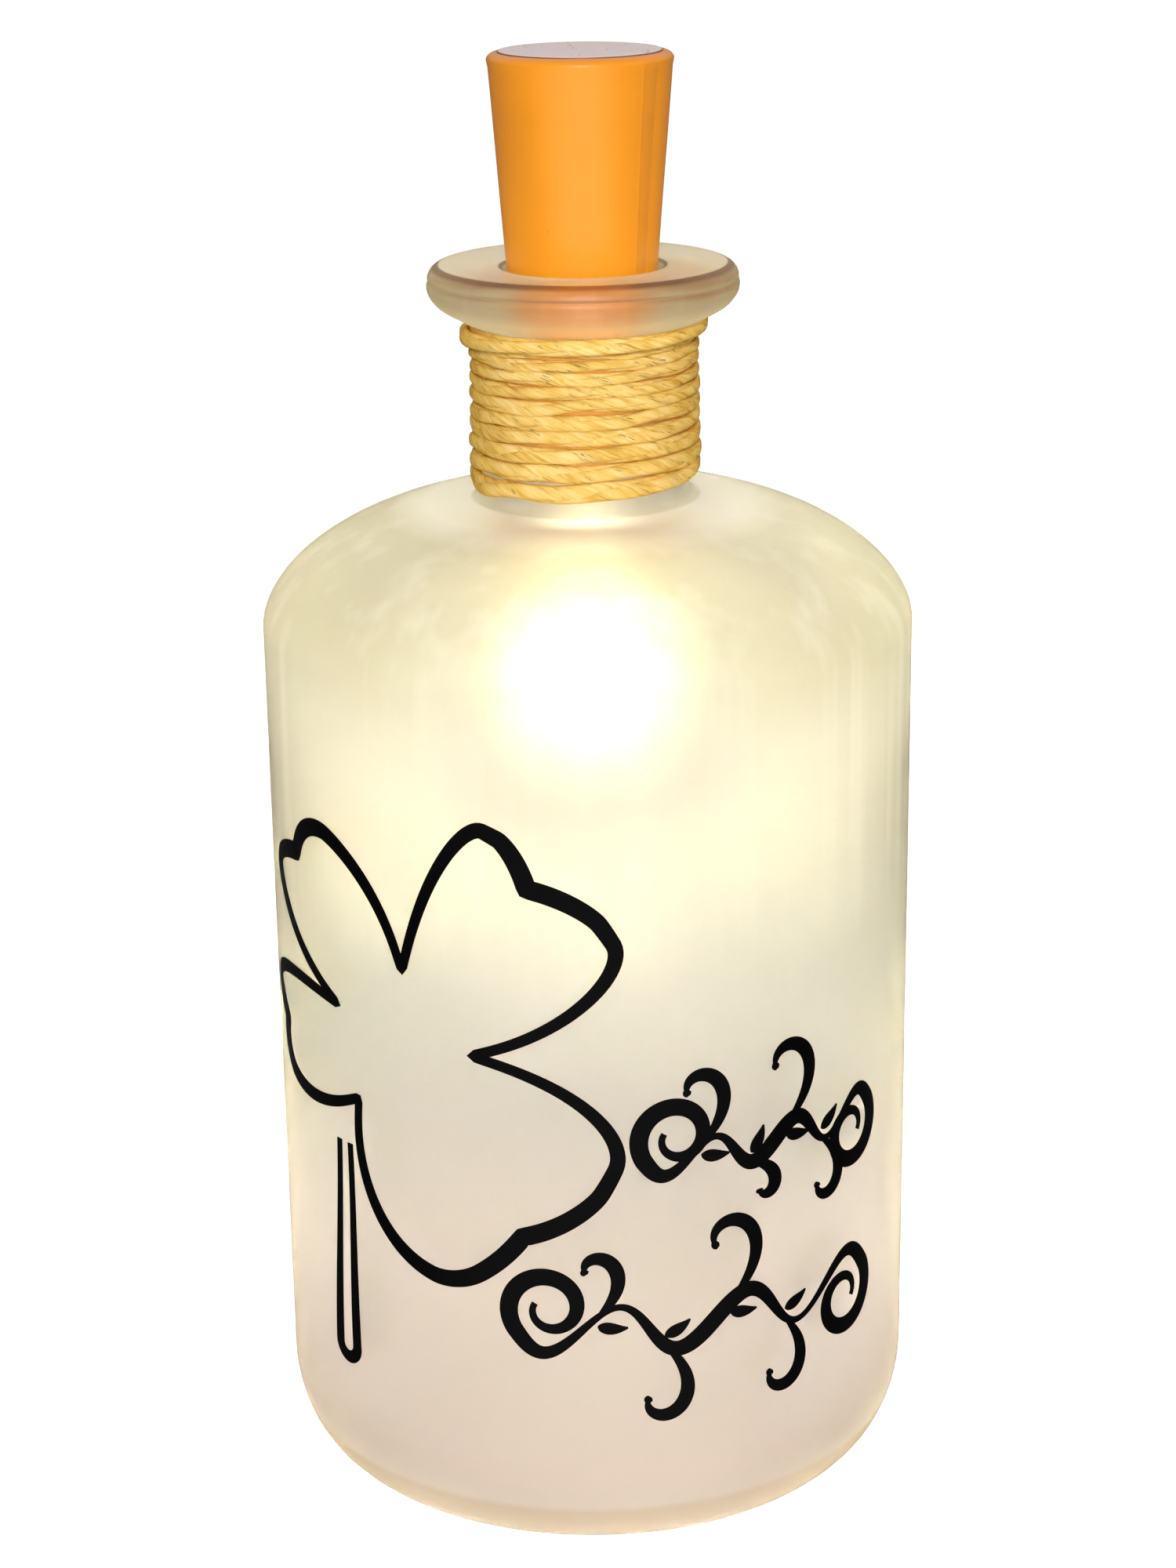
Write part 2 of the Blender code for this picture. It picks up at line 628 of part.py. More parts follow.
# The stopper: tapered body, light guide and the core inside it
def make_cork_sleeve(finishes, parent):
    end_edge = (CORK_EDGE_ROUND, CORK_EDGE_ROUND)
    profile = [(well_radius, 0.0)]
    profile += arc((cork_top_radius - CORK_EDGE_ROUND, -CORK_EDGE_ROUND), end_edge, 90.0, 0.0, 3)
    profile += arc((cork_end_radius - CORK_EDGE_ROUND, cork_base + CORK_EDGE_ROUND), end_edge, 0.0, -90.0, 3)
    profile += [
        (guide_radius + FIT_GAP, cork_base),
        (guide_radius + FIT_GAP, hollow_end),
        (led_hollow_radius, hollow_end),
        (led_hollow_radius, tray_hollow_base),
        (tray_hollow_radius, tray_hollow_base),
        (tray_hollow_radius, cup_hollow_base),
        (cup_hollow_radius, cup_hollow_base),
        (cup_hollow_radius, ledge_level),
        (well_radius, ledge_level),
    ]
    mesh = turned_mesh("cork_sleeve", profile, ROUND_STEPS)
    add_piece("cork_sleeve", mesh, finishes["orange_plastic"], parent)


def make_light_guide(finishes, parent):
    bore = guide_radius - GUIDE_WALL
    profile = arc((0.0, guide_tip + guide_radius), (bore, bore), -90.0, 0.0, 5)
    profile[0] = (0.0, profile[0][1])
    profile += [
        (bore, guide_top),
        (led_board_radius, guide_top),
        (led_board_radius, guide_flange_base),
        (guide_radius, guide_flange_base),
    ]
    shell = arc((0.0, guide_tip + guide_radius), (guide_radius, guide_radius), 0.0, -90.0, 5)
    shell[-1] = (0.0, shell[-1][1])
    mesh = turned_mesh("light_guide", profile + shell, PIN_STEPS)
    add_piece("light_guide", mesh, finishes["milky_guide"], parent)


def tray_outline():
    """The C-shaped section of the battery tray, open towards -Y."""
    half_wall = (FULL_TURN - TRAY_OPEN_ANGLE) / 2.0
    turns = math.pi / 2.0 + np.linspace(-half_wall, half_wall, TRAY_STEPS + 1)
    outer = [(tray_radius * math.cos(a), tray_radius * math.sin(a)) for a in turns]
    inner = [(tray_inner_radius * math.cos(a), tray_inner_radius * math.sin(a)) for a in turns[::-1]]
    return outer + inner


def wire_bearing(side):
    """Direction from the axis of one of the two wires, in the open side of the tray."""
    turn = -math.pi / 2.0 + side * WIRE_HALF_ANGLE
    return (math.cos(turn), math.sin(turn))


def make_core_frame(finishes, parent):
    profile = [
        (0.0, cup_floor_top),
        (cup_inner_radius, cup_floor_top),
        (cup_inner_radius, flange_top),
        (button_radius, flange_top),
        (button_radius, flange_base),
        (cup_radius, flange_base),
        (cup_radius, cup_floor_base),
        (0.0, cup_floor_base),
    ]
    mesh = turned_mesh("core_frame", profile)
    frame = add_piece("core_frame", mesh, finishes["white_plastic"], parent)
    tray_top = cup_floor_base + CUP_FLOOR / 2.0
    combine(frame, prism_mesh("tray", tray_outline(), tray_floor_base, tray_top), "UNION", parent)
    end_radius = tray_inner_radius + TRAY_WALL / 2.0
    end_wall = disc_mesh("tray_end", end_radius, tray_floor_base + TRAY_END_STEP, tray_floor_top)
    combine(frame, end_wall, "UNION", parent)
    post = box_mesh(
        "post",
        (-POST_WIDTH / 2.0, POST_DEPTH, tray_floor_base - POST_LENGTH),
        (POST_WIDTH / 2.0, 2.0 * POST_DEPTH, tray_floor_top - TRAY_END / 2.0),
    )
    combine(frame, post, "UNION", parent)
    for side in (-1, 1):
        screw_end = cup_floor_top - SCREW_SHANK_LENGTH + BOARD_THICKNESS
        hole = disc_mesh(
            "screw_hole", SCREW_SHANK_RADIUS + FIT_GAP, screw_end, cup_floor_top + CUT_OVERRUN, HOLE_STEPS
        )
        hole.transform(moved_by(side * screw_place, 0.0))
        combine(frame, hole, "DIFFERENCE", parent)
        bearing = wire_bearing(side)
        low, high = tray_floor_base - CUT_OVERRUN, cup_floor_top + CUT_OVERRUN
        passage = disc_mesh("wire_hole", WIRE_DIAMETER / 2.0 + FIT_GAP, low, high, HOLE_STEPS)
        passage.transform(moved_by(wire_run_radius * bearing[0], wire_run_radius * bearing[1]))
        combine(frame, passage, "DIFFERENCE", parent)


def make_boards(finishes, parent):
    mesh = disc_mesh("switch_board", board_radius, board_base, board_top)
    board = add_piece("switch_board", mesh, finishes["board_green"], parent)
    for side in (-1, 1):
        low, high = board_base - CUT_OVERRUN, board_top + CUT_OVERRUN
        hole = disc_mesh("screw_hole", SCREW_SHANK_RADIUS + FIT_GAP, low, high, HOLE_STEPS)
        hole.transform(moved_by(side * screw_place, 0.0))
        combine(board, hole, "DIFFERENCE", parent)
    mesh = disc_mesh("led_board", led_board_radius, led_board_base, led_board_top)
    add_piece("led_board", mesh, finishes["board_green"], parent)


def make_switch(finishes, core, button):
    size = (SWITCH_SIDE, SWITCH_SIDE, switch_top - parts_base)
    mesh = seated_box("switch_case", size, (0.0, 0.0), parts_base)
    case = add_piece("switch_case", mesh, finishes["switch_black"], core, smooth=False)
    low, high = switch_pocket_base, switch_top + CUT_OVERRUN
    combine(case, disc_mesh("pocket", PLUNGER_RADIUS + FIT_GAP, low, high, PIN_STEPS), "DIFFERENCE", core)
    mesh = disc_mesh("switch_plunger", PLUNGER_RADIUS, plunger_base, plunger_top, PIN_STEPS)
    add_piece("switch_plunger", mesh, finishes["white_plastic"], button)


def make_top_button(finishes, parent):
    profile = [
        (0.0, button_top),
        (button_radius, button_top),
        (button_radius, button_base),
        (BUTTON_BOSS_RADIUS, button_base),
        (BUTTON_BOSS_RADIUS, boss_end),
        (0.0, boss_end),
    ]
    add_piece("top_button", turned_mesh("top_button", profile, ROUND_STEPS), finishes["pale_plastic"], parent)


def make_small_parts(finishes, parent):
    places = (
        ("driver_chip", CHIP_SIZE, (0.0, -screw_place), "switch_black"),
        ("series_resistor", RESISTOR_SIZE, (-RESISTOR_SIZE[0], screw_place), "ceramic_tan"),
        ("filter_capacitor", CAPACITOR_SIZE, (CAPACITOR_SIZE[0], screw_place), "ceramic_tan"),
    )
    for name, size, centre, colour in places:
        add_piece(name, seated_box(name, size, centre, parts_base), finishes[colour], parent, smooth=False)


def make_screws(finishes, parent):
    head_base = board_top + FIT_GAP
    for side, name in ((-1, "board_screw_left"), (1, "board_screw_right")):
        profile = [
            (0.0, head_base + SCREW_HEAD_HEIGHT),
            (SCREW_HEAD_RADIUS, head_base + SCREW_HEAD_HEIGHT),
            (SCREW_HEAD_RADIUS, head_base),
            (SCREW_SHANK_RADIUS, head_base),
            (SCREW_SHANK_RADIUS, head_base - SCREW_SHANK_LENGTH),
            (0.0, head_base - SCREW_SHANK_LENGTH),
        ]
        mesh = turned_mesh(name, profile, HOLE_STEPS)
        mesh.transform(moved_by(side * screw_place, 0.0))
        screw = add_piece(name, mesh, finishes["screw_steel"], parent)
        slot = seated_box(
            "slot", (SCREW_SLOT_WIDTH, 2.0 * SCREW_HEAD_RADIUS + CUT_OVERRUN, SCREW_HEAD_HEIGHT),
            (side * screw_place, 0.0), head_base + SCREW_HEAD_HEIGHT / 2.0,
        )
        combine(screw, slot, "DIFFERENCE", parent)


def make_cells(finishes, parent):
    for index, name in enumerate(CELL_NAMES):
        top = stack_top - index * (CELL_HEIGHT + FIT_GAP)
        base = top - CELL_HEIGHT
        profile = [
            (0.0, top),
            (CELL_RADIUS - CELL_SHOULDER, top),
            (CELL_RADIUS - CELL_SHOULDER, top - CELL_CAP_HEIGHT),
            (CELL_RADIUS - CELL_EDGE, top - CELL_CAP_HEIGHT),
            (CELL_RADIUS, top - CELL_CAP_HEIGHT - CELL_EDGE),
            (CELL_RADIUS, base + CELL_EDGE),
            (CELL_RADIUS - CELL_EDGE, base),
            (0.0, base),
        ]
        add_piece(name, turned_mesh(name, profile, SMALL_STEPS), finishes["cell_steel"], parent)


def make_contacts(finishes, parent):
    mesh = disc_mesh("positive_contact", CONTACT_RADIUS, contact_top - CONTACT_THICKNESS, contact_top)
    add_piece("positive_contact", mesh, finishes["contact_brass"], parent)
    wire = SPRING_WIRE_DIAMETER
    pitch = (SPRING_HEIGHT - wire) / SPRING_CURLS
    points = wound(SPRING_RADIUS, spring_base + wire / 2.0, pitch, SPRING_CURLS, SPRING_LOOP_POINTS, wire)
    gap = least_gap_to_itself(points, SPRING_LOOP_POINTS, wire)
    print("spring: turns", SPRING_CURLS, "least gap to itself in mm", gap * MM_PER_METRE)
    tube("negative_spring", points, wire, finishes["screw_steel"], parent, 1)


def make_led(finishes, parent):
    profile = [
        (0.0, led_top),
        (LED_FOOT_RADIUS, led_top),
        (LED_FOOT_RADIUS, led_top - LED_FOOT_HEIGHT),
        (LED_RADIUS, led_top - LED_FOOT_HEIGHT),
    ]
    dome = arc((0.0, led_tip + LED_RADIUS), (LED_RADIUS, LED_RADIUS), 0.0, -90.0, 4)
    dome[-1] = (0.0, led_tip)
    add_piece("led", turned_mesh("led", profile + dome, PIN_STEPS), finishes["led_resin"], parent)


def smooth_route(knots, steps):
    """Reads a Catmull-Rom curve through the knots at even shares."""
    padded = np.array([knots[0], *knots, knots[-1]])
    route = []
    for index in range(len(knots) - 1):
        a, b, c, d = padded[index : index + 4]
        for share in np.arange(steps) / steps:
            route.append(
                0.5 * (2.0 * b + (c - a) * share + (2.0 * a - 5.0 * b + 4.0 * c - d) * share**2
                       + (3.0 * b - a - 3.0 * c + d) * share**3)
            )
    return [tuple(point) for point in route] + [tuple(knots[-1])]


def make_wires(finishes, parent):
    for side, name in ((-1, "wire_red"), (1, "wire_black")):
        x, y = wire_bearing(side)
        levels = [
            (board_base - FIT_GAP, wire_run_radius),
            (cup_floor_base, wire_run_radius),
            ((cup_floor_base + tray_floor_base) / 2.0, wire_run_radius),
        ]
        for down, inward in WIRE_BEND_SHARES:
            reach = wire_run_radius + inward * (WIRE_LANDING_RADIUS - wire_run_radius)
            levels.append((tray_floor_base - down * WIRE_BEND_HEIGHT, reach))
        levels += [(led_board_top + FIT_GAP, WIRE_LANDING_RADIUS)]
        knots = [(reach * x, reach * y, height) for height, reach in levels]
        tube(name, smooth_route(knots, 3), WIRE_DIAMETER, finishes[name], parent, 2)


def main():
    clear_scene()
    finishes = make_finishes()
    bottle = add_axis("bottle_body")
    cork = add_axis("cork_body", bottle, stopper_height)
    core = add_axis("core_body", cork)
    button = add_axis("button_body", core)
    make_bottle(finishes, bottle)
    make_twine(finishes, bottle)
    make_decals(finishes, bottle)
    make_cork_sleeve(finishes, cork)
    make_light_guide(finishes, cork)
    make_core_frame(finishes, core)
    make_boards(finishes, core)
    make_switch(finishes, core, button)
    make_top_button(finishes, button)
    make_small_parts(finishes, core)
    make_screws(finishes, core)
    make_cells(finishes, core)
    make_contacts(finishes, core)
    make_led(finishes, core)
    make_wires(finishes, core)
    for label, size in (
        ("bottle height", lip_top),
        ("stopper top", stopper_height),
        ("stopper length", -cork_base),
        ("stopper top radius", cork_top_radius),
        ("stopper end radius", cork_end_radius),
        ("light guide radius", guide_radius),
        ("light guide tip", stopper_height + guide_tip),
        ("stopper lift", cork_lift),
        ("core lift", core_lift),
    ):
        print(label, "in mm:", round(size * MM_PER_METRE, 3))


main()
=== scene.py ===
import math

import bmesh
import bpy
import numpy as np
from mathutils import Matrix, Vector


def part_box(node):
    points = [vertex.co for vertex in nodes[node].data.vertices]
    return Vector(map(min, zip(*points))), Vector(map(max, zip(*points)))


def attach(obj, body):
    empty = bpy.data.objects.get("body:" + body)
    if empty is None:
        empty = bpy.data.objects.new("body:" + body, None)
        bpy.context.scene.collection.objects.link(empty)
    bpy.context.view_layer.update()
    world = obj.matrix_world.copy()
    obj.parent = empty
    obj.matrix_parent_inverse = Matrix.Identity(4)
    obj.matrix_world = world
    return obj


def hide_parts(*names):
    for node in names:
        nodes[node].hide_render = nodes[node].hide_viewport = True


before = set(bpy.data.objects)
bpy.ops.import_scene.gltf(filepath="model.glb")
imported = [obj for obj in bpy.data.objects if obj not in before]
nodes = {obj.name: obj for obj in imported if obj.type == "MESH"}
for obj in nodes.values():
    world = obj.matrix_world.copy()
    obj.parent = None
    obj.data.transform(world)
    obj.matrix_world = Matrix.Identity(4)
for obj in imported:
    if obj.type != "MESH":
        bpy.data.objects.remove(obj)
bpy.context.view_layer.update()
print("frame loaded,", len(nodes), "solids")

fullTurn = 2.0 * math.pi


def stand(name, data):
    item = bpy.data.objects.new(name, data)
    bpy.context.scene.collection.objects.link(item)
    return item


# camera, fitted to the outline in the photograph
photoView = {
    "distance": 0.392645,
    "height": 0.217560,
    "pitch": 0.317553,
    "roll": -0.0137233,
    "focalPixels": 4134.64,
    "framePixels": 2000.0,
    "sidePixels": 2.42,
}


def makeCamera():
    data = bpy.data.cameras.new("photoCamera")
    data.sensor_width = 36.0
    data.lens = photoView["focalPixels"] * data.sensor_width / photoView["framePixels"]
    data.shift_x = -photoView["sidePixels"] / photoView["framePixels"]
    data.clip_start = 0.01
    camera = stand("photoCamera", data)
    camera.matrix_world = (
        Matrix.Translation((0.0, -photoView["distance"], photoView["height"]))
        @ Matrix.Rotation(math.pi / 2.0 - photoView["pitch"], 4, "X")
        @ Matrix.Rotation(photoView["roll"], 4, "Z")
    )
    bpy.context.scene.camera = camera


makeCamera()
bpy.context.scene.view_settings.view_transform = "Standard"
print("camera placed")


# node helpers: they add to the tree that was started last
current = {}


def fill(socket, value):
    # colours are given without their alpha
    if isinstance(value, bpy.types.NodeSocket):
        current["tree"].links.new(value, socket)
    else:
        socket.default_value = (*value, 1.0) if socket.type == "RGBA" else value


def put(kind, values=None, **settings):
    item = current["tree"].nodes.new(kind)
    for key, value in settings.items():
        setattr(item, key, value)
    for key, value in (values or {}).items():
        fill(item.inputs[key], value)
    return item


def made(kind, values=None, **settings):
    return put(kind, values, **settings).outputs[0]


def maths(operation, *values):
    return made("ShaderNodeMath", dict(enumerate(values)), operation=operation)


def times(first, second):
    return maths("MULTIPLY", first, second)


def plus(first, second):
    return maths("ADD", first, second)


def minus(first, second):
    return maths("SUBTRACT", first, second)


def scaled(value, factor, shift):
    return maths("MULTIPLY_ADD", value, factor, shift)


def spread(value, low, high, newLow=0.0, newHigh=1.0):
    return made("ShaderNodeMapRange", {0: value, 1: low, 2: high, 3: newLow, 4: newHigh})


def parts(vector):
    return put("ShaderNodeSeparateXYZ", {0: vector}).outputs


def joined(x, y, z=0.0):
    return made("ShaderNodeCombineXYZ", {0: x, 1: y, 2: z})


def onRing(reach, angle, height):
    return joined(times(reach, maths("COSINE", angle)), times(reach, maths("SINE", angle)), height)


def mixColour(share, first, second, blend="MIX"):
    return put("ShaderNodeMix", {0: share, 6: first, 7: second}, data_type="RGBA", blend_type=blend).outputs[2]


def rampColour(value, stops, joining="LINEAR"):
    item = put("ShaderNodeValToRGB", {0: value})
    item.color_ramp.interpolation = joining
    bar = item.color_ramp.elements
    while len(bar) < len(stops):
        bar.new(0.5)
    for mark, (place, colour) in zip(bar, stops):
        mark.position = place
        mark.color = (*colour, 1.0)
    return item.outputs[0]


def rampNumber(value, stops):
    return rampColour(value, [(place, (number,) * 3) for place, number in stops])


def noise(vector, scale, detail=3.0, rough=0.5):
    return made("ShaderNodeTexNoise", {"Vector": vector, "Scale": scale, "Detail": detail, "Roughness": rough})


def stretched(vector, scale):
    return made("ShaderNodeMapping", {"Vector": vector, "Scale": scale})


def bumped(height, depth, normal=None):
    values = {"Height": height, "Distance": depth, "Strength": 1.0}
    if normal:
        values["Normal"] = normal
    return made("ShaderNodeBump", values)


def facingShare():
    return put("ShaderNodeLayerWeight", {"Blend": 0.5}).outputs["Facing"]


def upwardShare():
    return parts(put("ShaderNodeNewGeometry").outputs["Normal"])[2]


def feed(shader, **values):
    for key, value in values.items():
        fill(shader.inputs[key.replace("_", " ")], value)


def startSurface(name, **values):
    material = bpy.data.materials.new(name)
    material.use_nodes = True
    current["tree"] = material.node_tree
    shader = material.node_tree.nodes["Principled BSDF"]
    feed(shader, **values)
    return material, shader, put("ShaderNodeTexCoord").outputs["Object"]


def blendShaders(share, first, second):
    both = made("ShaderNodeMixShader", {0: share, 1: first, 2: second})
    fill(current["tree"].nodes["Material Output"].inputs["Surface"], both)


# mesh helpers
def link(name, mesh, body, slot, *stoodFor):
    piece = stand(name, mesh)
    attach(piece, body)
    if stoodFor:
        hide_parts(*stoodFor)


def arcPoints(centre, radii, start, end, steps):
    turns = np.radians(np.linspace(start, end, steps + 1))
    return [(centre[0] + radii[0] * math.cos(a), centre[1] + radii[1] * math.sin(a)) for a in turns]


def curveThrough(knots, steps):
    # a smooth line through the knots, read at even shares
    padded = np.array([knots[0], *knots, knots[-1]], float)
    line = []
    for index in range(len(knots) - 1):
        a, b, c, d = padded[index : index + 4]
        for t in np.arange(steps) / steps:
            line.append(
                0.5 * (2 * b + (c - a) * t + (2 * a - 5 * b + 4 * c - d) * t * t + (3 * b - a - 3 * c + d) * t**3)
            )
    return [tuple(point) for point in line] + [tuple(knots[-1])]


def turned(name, profile, steps, materials, slots=None, shift=None):
    # profile is (radius, height) points, and slots gives each stretch its material
    work = bmesh.new()
    angles = np.arange(steps) * fullTurn / steps
    rings = []
    for index, (radius, height) in enumerate(profile):
        if radius < 1e-7:
            rings.append([work.verts.new((0.0, 0.0, height))])
            continue
        ring = []
        for angle in angles:
            reach = radius + (shift(index, angle, height) if shift else 0.0)
            ring.append(work.verts.new((reach * math.cos(angle), reach * math.sin(angle), height)))
        rings.append(ring)
    closed = len(rings[0]) > 1 and len(rings[-1]) > 1
    for index in range(len(rings) - (0 if closed else 1)):
        here, there = rings[index], rings[(index + 1) % len(rings)]
        for step in range(steps):
            after = (step + 1) % steps
            loop = ((here, step), (here, after), (there, after), (there, step))
            face = work.faces.new(list(dict.fromkeys(ring[spot % len(ring)] for ring, spot in loop)))
            face.material_index = slots[index] if slots else 0
            face.smooth = True
    bmesh.ops.recalc_face_normals(work, faces=work.faces)
    mesh = bpy.data.meshes.new(name)
    work.to_mesh(mesh)
    work.free()
    for material in materials:
        mesh.materials.append(material)
    return mesh


# geometry node helpers
def startTree(name, inputs):
    tree = bpy.data.node_groups.new(name, "GeometryNodeTree")
    tree.interface.new_socket("Geometry", in_out="INPUT", socket_type="NodeSocketGeometry")
    kinds = {float: "NodeSocketFloat", int: "NodeSocketInt", tuple: "NodeSocketVector"}
    for label, value in inputs.items():
        tree.interface.new_socket(label, in_out="INPUT", socket_type=kinds[type(value)]).default_value = value
    tree.interface.new_socket("Geometry", in_out="OUTPUT", socket_type="NodeSocketGeometry")
    current["tree"] = tree
    return put("NodeGroupInput").outputs


def endTree(geometry, material, smooth=True):
    geometry = made("GeometryNodeRealizeInstances", {0: geometry})
    geometry = made("GeometryNodeSetShadeSmooth", {0: geometry, "Shade Smooth": smooth})
    put("NodeGroupOutput", {0: made("GeometryNodeSetMaterial", {0: geometry, "Material": material})})
    return current["tree"]


def merged(first, second):
    both = put("GeometryNodeJoinGeometry")
    for geometry in (first, second):
        fill(both.inputs[0], geometry)
    return both.outputs[0]


def placed(geometry, position):
    return made("GeometryNodeSetPosition", {0: geometry, "Position": position})


def swept(line, section, size):
    values = {"Curve": line, "Profile Curve": section, "Scale": size, "Fill Caps": True}
    return made("GeometryNodeCurveToMesh", values)


def grown(name, tree, values, data=None):
    # runs a tree on a holder and returns the result as a plain mesh
    holder = stand(name + "Holder", data or bpy.data.meshes.new(name + "Holder"))
    change = holder.modifiers.new("grow", "NODES")
    change.node_group = tree
    for item in tree.interface.items_tree:
        if item.in_out == "INPUT" and item.name in values:
            change[item.identifier] = values[item.name]
    bpy.context.view_layer.update()
    ready = holder.evaluated_get(bpy.context.evaluated_depsgraph_get())
    mesh = bpy.data.meshes.new_from_object(ready)
    mesh.name = name
    holder.modifiers.clear()
    bpy.data.objects.remove(holder, do_unlink=True)
    return mesh


# frosted glass: a rough skin that scatters light, over a smooth inner wall
glassLook = {
    # tints up the wall, at shares of the height
    "tintTop": 0.155,
    "tintDrift": 0.030,
    "tints": (
        (0.0, (0.94, 0.8272, 0.8272)),
        (0.09, (1.0, 0.88, 0.88)),
        (0.20, (0.98, 0.885, 0.895)),
        (0.46, (0.69, 0.68, 0.73)),
        (0.66, (0.97, 0.93, 0.87)),
        (0.76, (0.83, 0.78, 0.61)),
        (0.90, (0.88, 0.83, 0.71)),
        (0.957, (0.93, 0.94, 0.92)),
        (0.978, (0.66, 0.58, 0.35)),
    ),
    # how far the darker sides reach in, and how strong they are, at the same shares; the darkening is partly the longer
    # way through the wall, partly painted shade
    "sideBend": ((0.30, 0.55), (0.48, 0.60), (0.62, 1.15), (0.76, 0.35)),
    "sideDepth": ((0.10, 0.45), (0.22, 0.35), (0.45, 0.85), (0.62, 1.0), (0.74, 0.50), (0.82, 0.20), (0.92, 0.0)),
    "edgeTintAndShade": (0.21, 0.21, 0.205),
    "footTint": (0.80, 0.73, 0.60),
    "footBand": (0.0064, 0.0074),
    "litTint": (1.0, 0.98, 0.97),
    "lightStreakRise": (0.075, 0.110),
    "lightStreakShare": 0.30,
    "lipFoot": (0.146, 0.150),
    "browShadeTint": (0.30, 0.18, 0.07),
    "browSlope": (0.60, 0.80),
    "flatSlope": (0.95, 0.985),
    "roughness": 0.73,
    "lipRoughness": 0.46,
    "clearShare": 0.95,
    "scatterShare": 0.05,
    "lampScatter": 0.46,
    "lampHeight": 0.0930,
    "lampReach": 0.033,
    "neckFoot": (0.128, 0.132),
    "neckScatter": 0.03,
    "flareGlow": (1.0, 0.84, 0.48),
    "flarePower": 0.24,
    "flareRise": (0.1465, 0.1495),
    "flareFall": (0.1500, 0.1522),
    "flatTopGlow": 0.6,
    "innerTint": (0.97, 0.97, 0.95),
}


def frostedSkin():
    g = glassLook
    material, shader, place = startSurface("frostedSkin", IOR=1.5, Specular_IOR_Level=0.5)
    feed(shader, Transmission_Weight=g["clearShare"], Emission_Color=g["flareGlow"])
    height = parts(place)[2]
    drift = scaled(noise(place, 22.0, 2.0), g["tintDrift"], -g["tintDrift"] / 2.0)
    share = spread(plus(height, drift), 0.0, g["tintTop"])
    # the sides are darker: partly the longer way through the wall, partly painted shade
    side = maths("POWER", spread(facingShare(), 0.0, 0.9), rampNumber(share, g["sideBend"]))
    side = times(side, rampNumber(share, g["sideDepth"]))
    tint = mixColour(side, rampColour(share, g["tints"], "EASE"), g["edgeTintAndShade"], "MULTIPLY")
    # the solid foot shows as a darker band
    tint = mixColour(spread(height, *g["footBand"], 1.0, 0.0), tint, g["footTint"], "MULTIPLY")
    # painted light: pale vertical streaks on the upper wall
    streak = noise(stretched(place, (1.0, 1.0, 0.04)), 170.0, 2.0, 0.6)
    streak = times(spread(streak, 0.50, 0.68), spread(height, *g["lightStreakRise"], 0.0, g["lightStreakShare"]))
    tint = mixColour(streak, tint, g["litTint"])
    # painted shade draws a dark line along the crest of the lip, outside its flat top
    upward = upwardShare()
    onLip = spread(height, *g["lipFoot"])
    brow = times(spread(upward, *g["browSlope"]), spread(upward, *g["flatSlope"], 1.0, 0.0))
    tint = mixColour(times(brow, onLip), tint, g["browShadeTint"], "MULTIPLY")
    # painted light makes the flat top of the lip, which faces up, paler
    tint = mixColour(spread(upward, *g["flatSlope"]), tint, g["litTint"])
    finish = spread(onLip, 0.0, 1.0, g["roughness"], g["lipRoughness"])
    rough = scaled(noise(place, 90.0, 4.0, 0.6), 0.10, minus(finish, 0.05))
    feed(shader, Base_Color=tint, Roughness=rough, Normal=bumped(noise(place, 5200.0, 2.0), 0.000014))
    # the skin scatters most around the lit tip
    away = maths("ABSOLUTE", minus(height, g["lampHeight"]))
    milky = spread(away, 0.0, g["lampReach"], g["lampScatter"], g["scatterShare"])
    milky = maths("MINIMUM", milky, spread(height, *g["neckFoot"], 0.5, g["neckScatter"]))
    # a painted glow, standing in for light that runs up the wall, comes out at the flare and the flat top
    flare = times(spread(height, *g["flareRise"]), spread(height, *g["flareFall"], 1.0, 0.0))
    flare = maths("MAXIMUM", flare, times(onLip, spread(upward, *g["flatSlope"], 0.0, g["flatTopGlow"])))
    feed(shader, Emission_Strength=times(flare, g["flarePower"]))
    blendShaders(milky, shader.outputs[0], made("ShaderNodeBsdfTranslucent", {"Color": tint}))
    return material


def smoothGlass():
    # lamps reach the skin through this wall
    tint = glassLook["innerTint"]
    material, shader, place = startSurface("smoothGlass", Base_Color=tint, Transmission_Weight=1.0, IOR=1.5)
    ripple = noise(stretched(place, (1.0, 1.0, 0.2)), 140.0, 2.0)
    feed(shader, Roughness=scaled(noise(place, 60.0), 0.10, 0.06), Normal=bumped(ripple, 0.0004))
    passing = put("ShaderNodeLightPath").outputs["Is Shadow Ray"]
    blendShaders(passing, shader.outputs[0], made("ShaderNodeBsdfTransparent", {"Color": tint}))
    return material


glassShape = {
    "bodyRadius": 0.0405,
    "innerRadius": 0.0377,
    "floorTop": 0.0062,
    "footWidth": 0.0080,
    "footHeight": 0.0124,
    "ringWidth": 0.0080,
    "puntDepth": 0.0020,
    "shoulderStart": 0.1110,
    "shoulderRise": 0.0155,
    "innerRise": 0.0127,
    "shoulderPower": 1.8,
    "neckRadius": 0.0128,
    "neckFillet": 0.0018,
    "boreRadius": 0.00945,
    "wallRipple": 0.00008,
    "rippleSpan": (0.012, 0.112),
    "rippleFade": 0.02,
    "steps": 160,
}


def shoulderLine(inner, outer, start, rise, first, last, steps):
    power = 2.0 / glassShape["shoulderPower"]
    turns = np.radians(np.linspace(first, last, steps))
    return [(inner + (outer - inner) * math.cos(a) ** power, start + rise * math.sin(a) ** power) for a in turns]


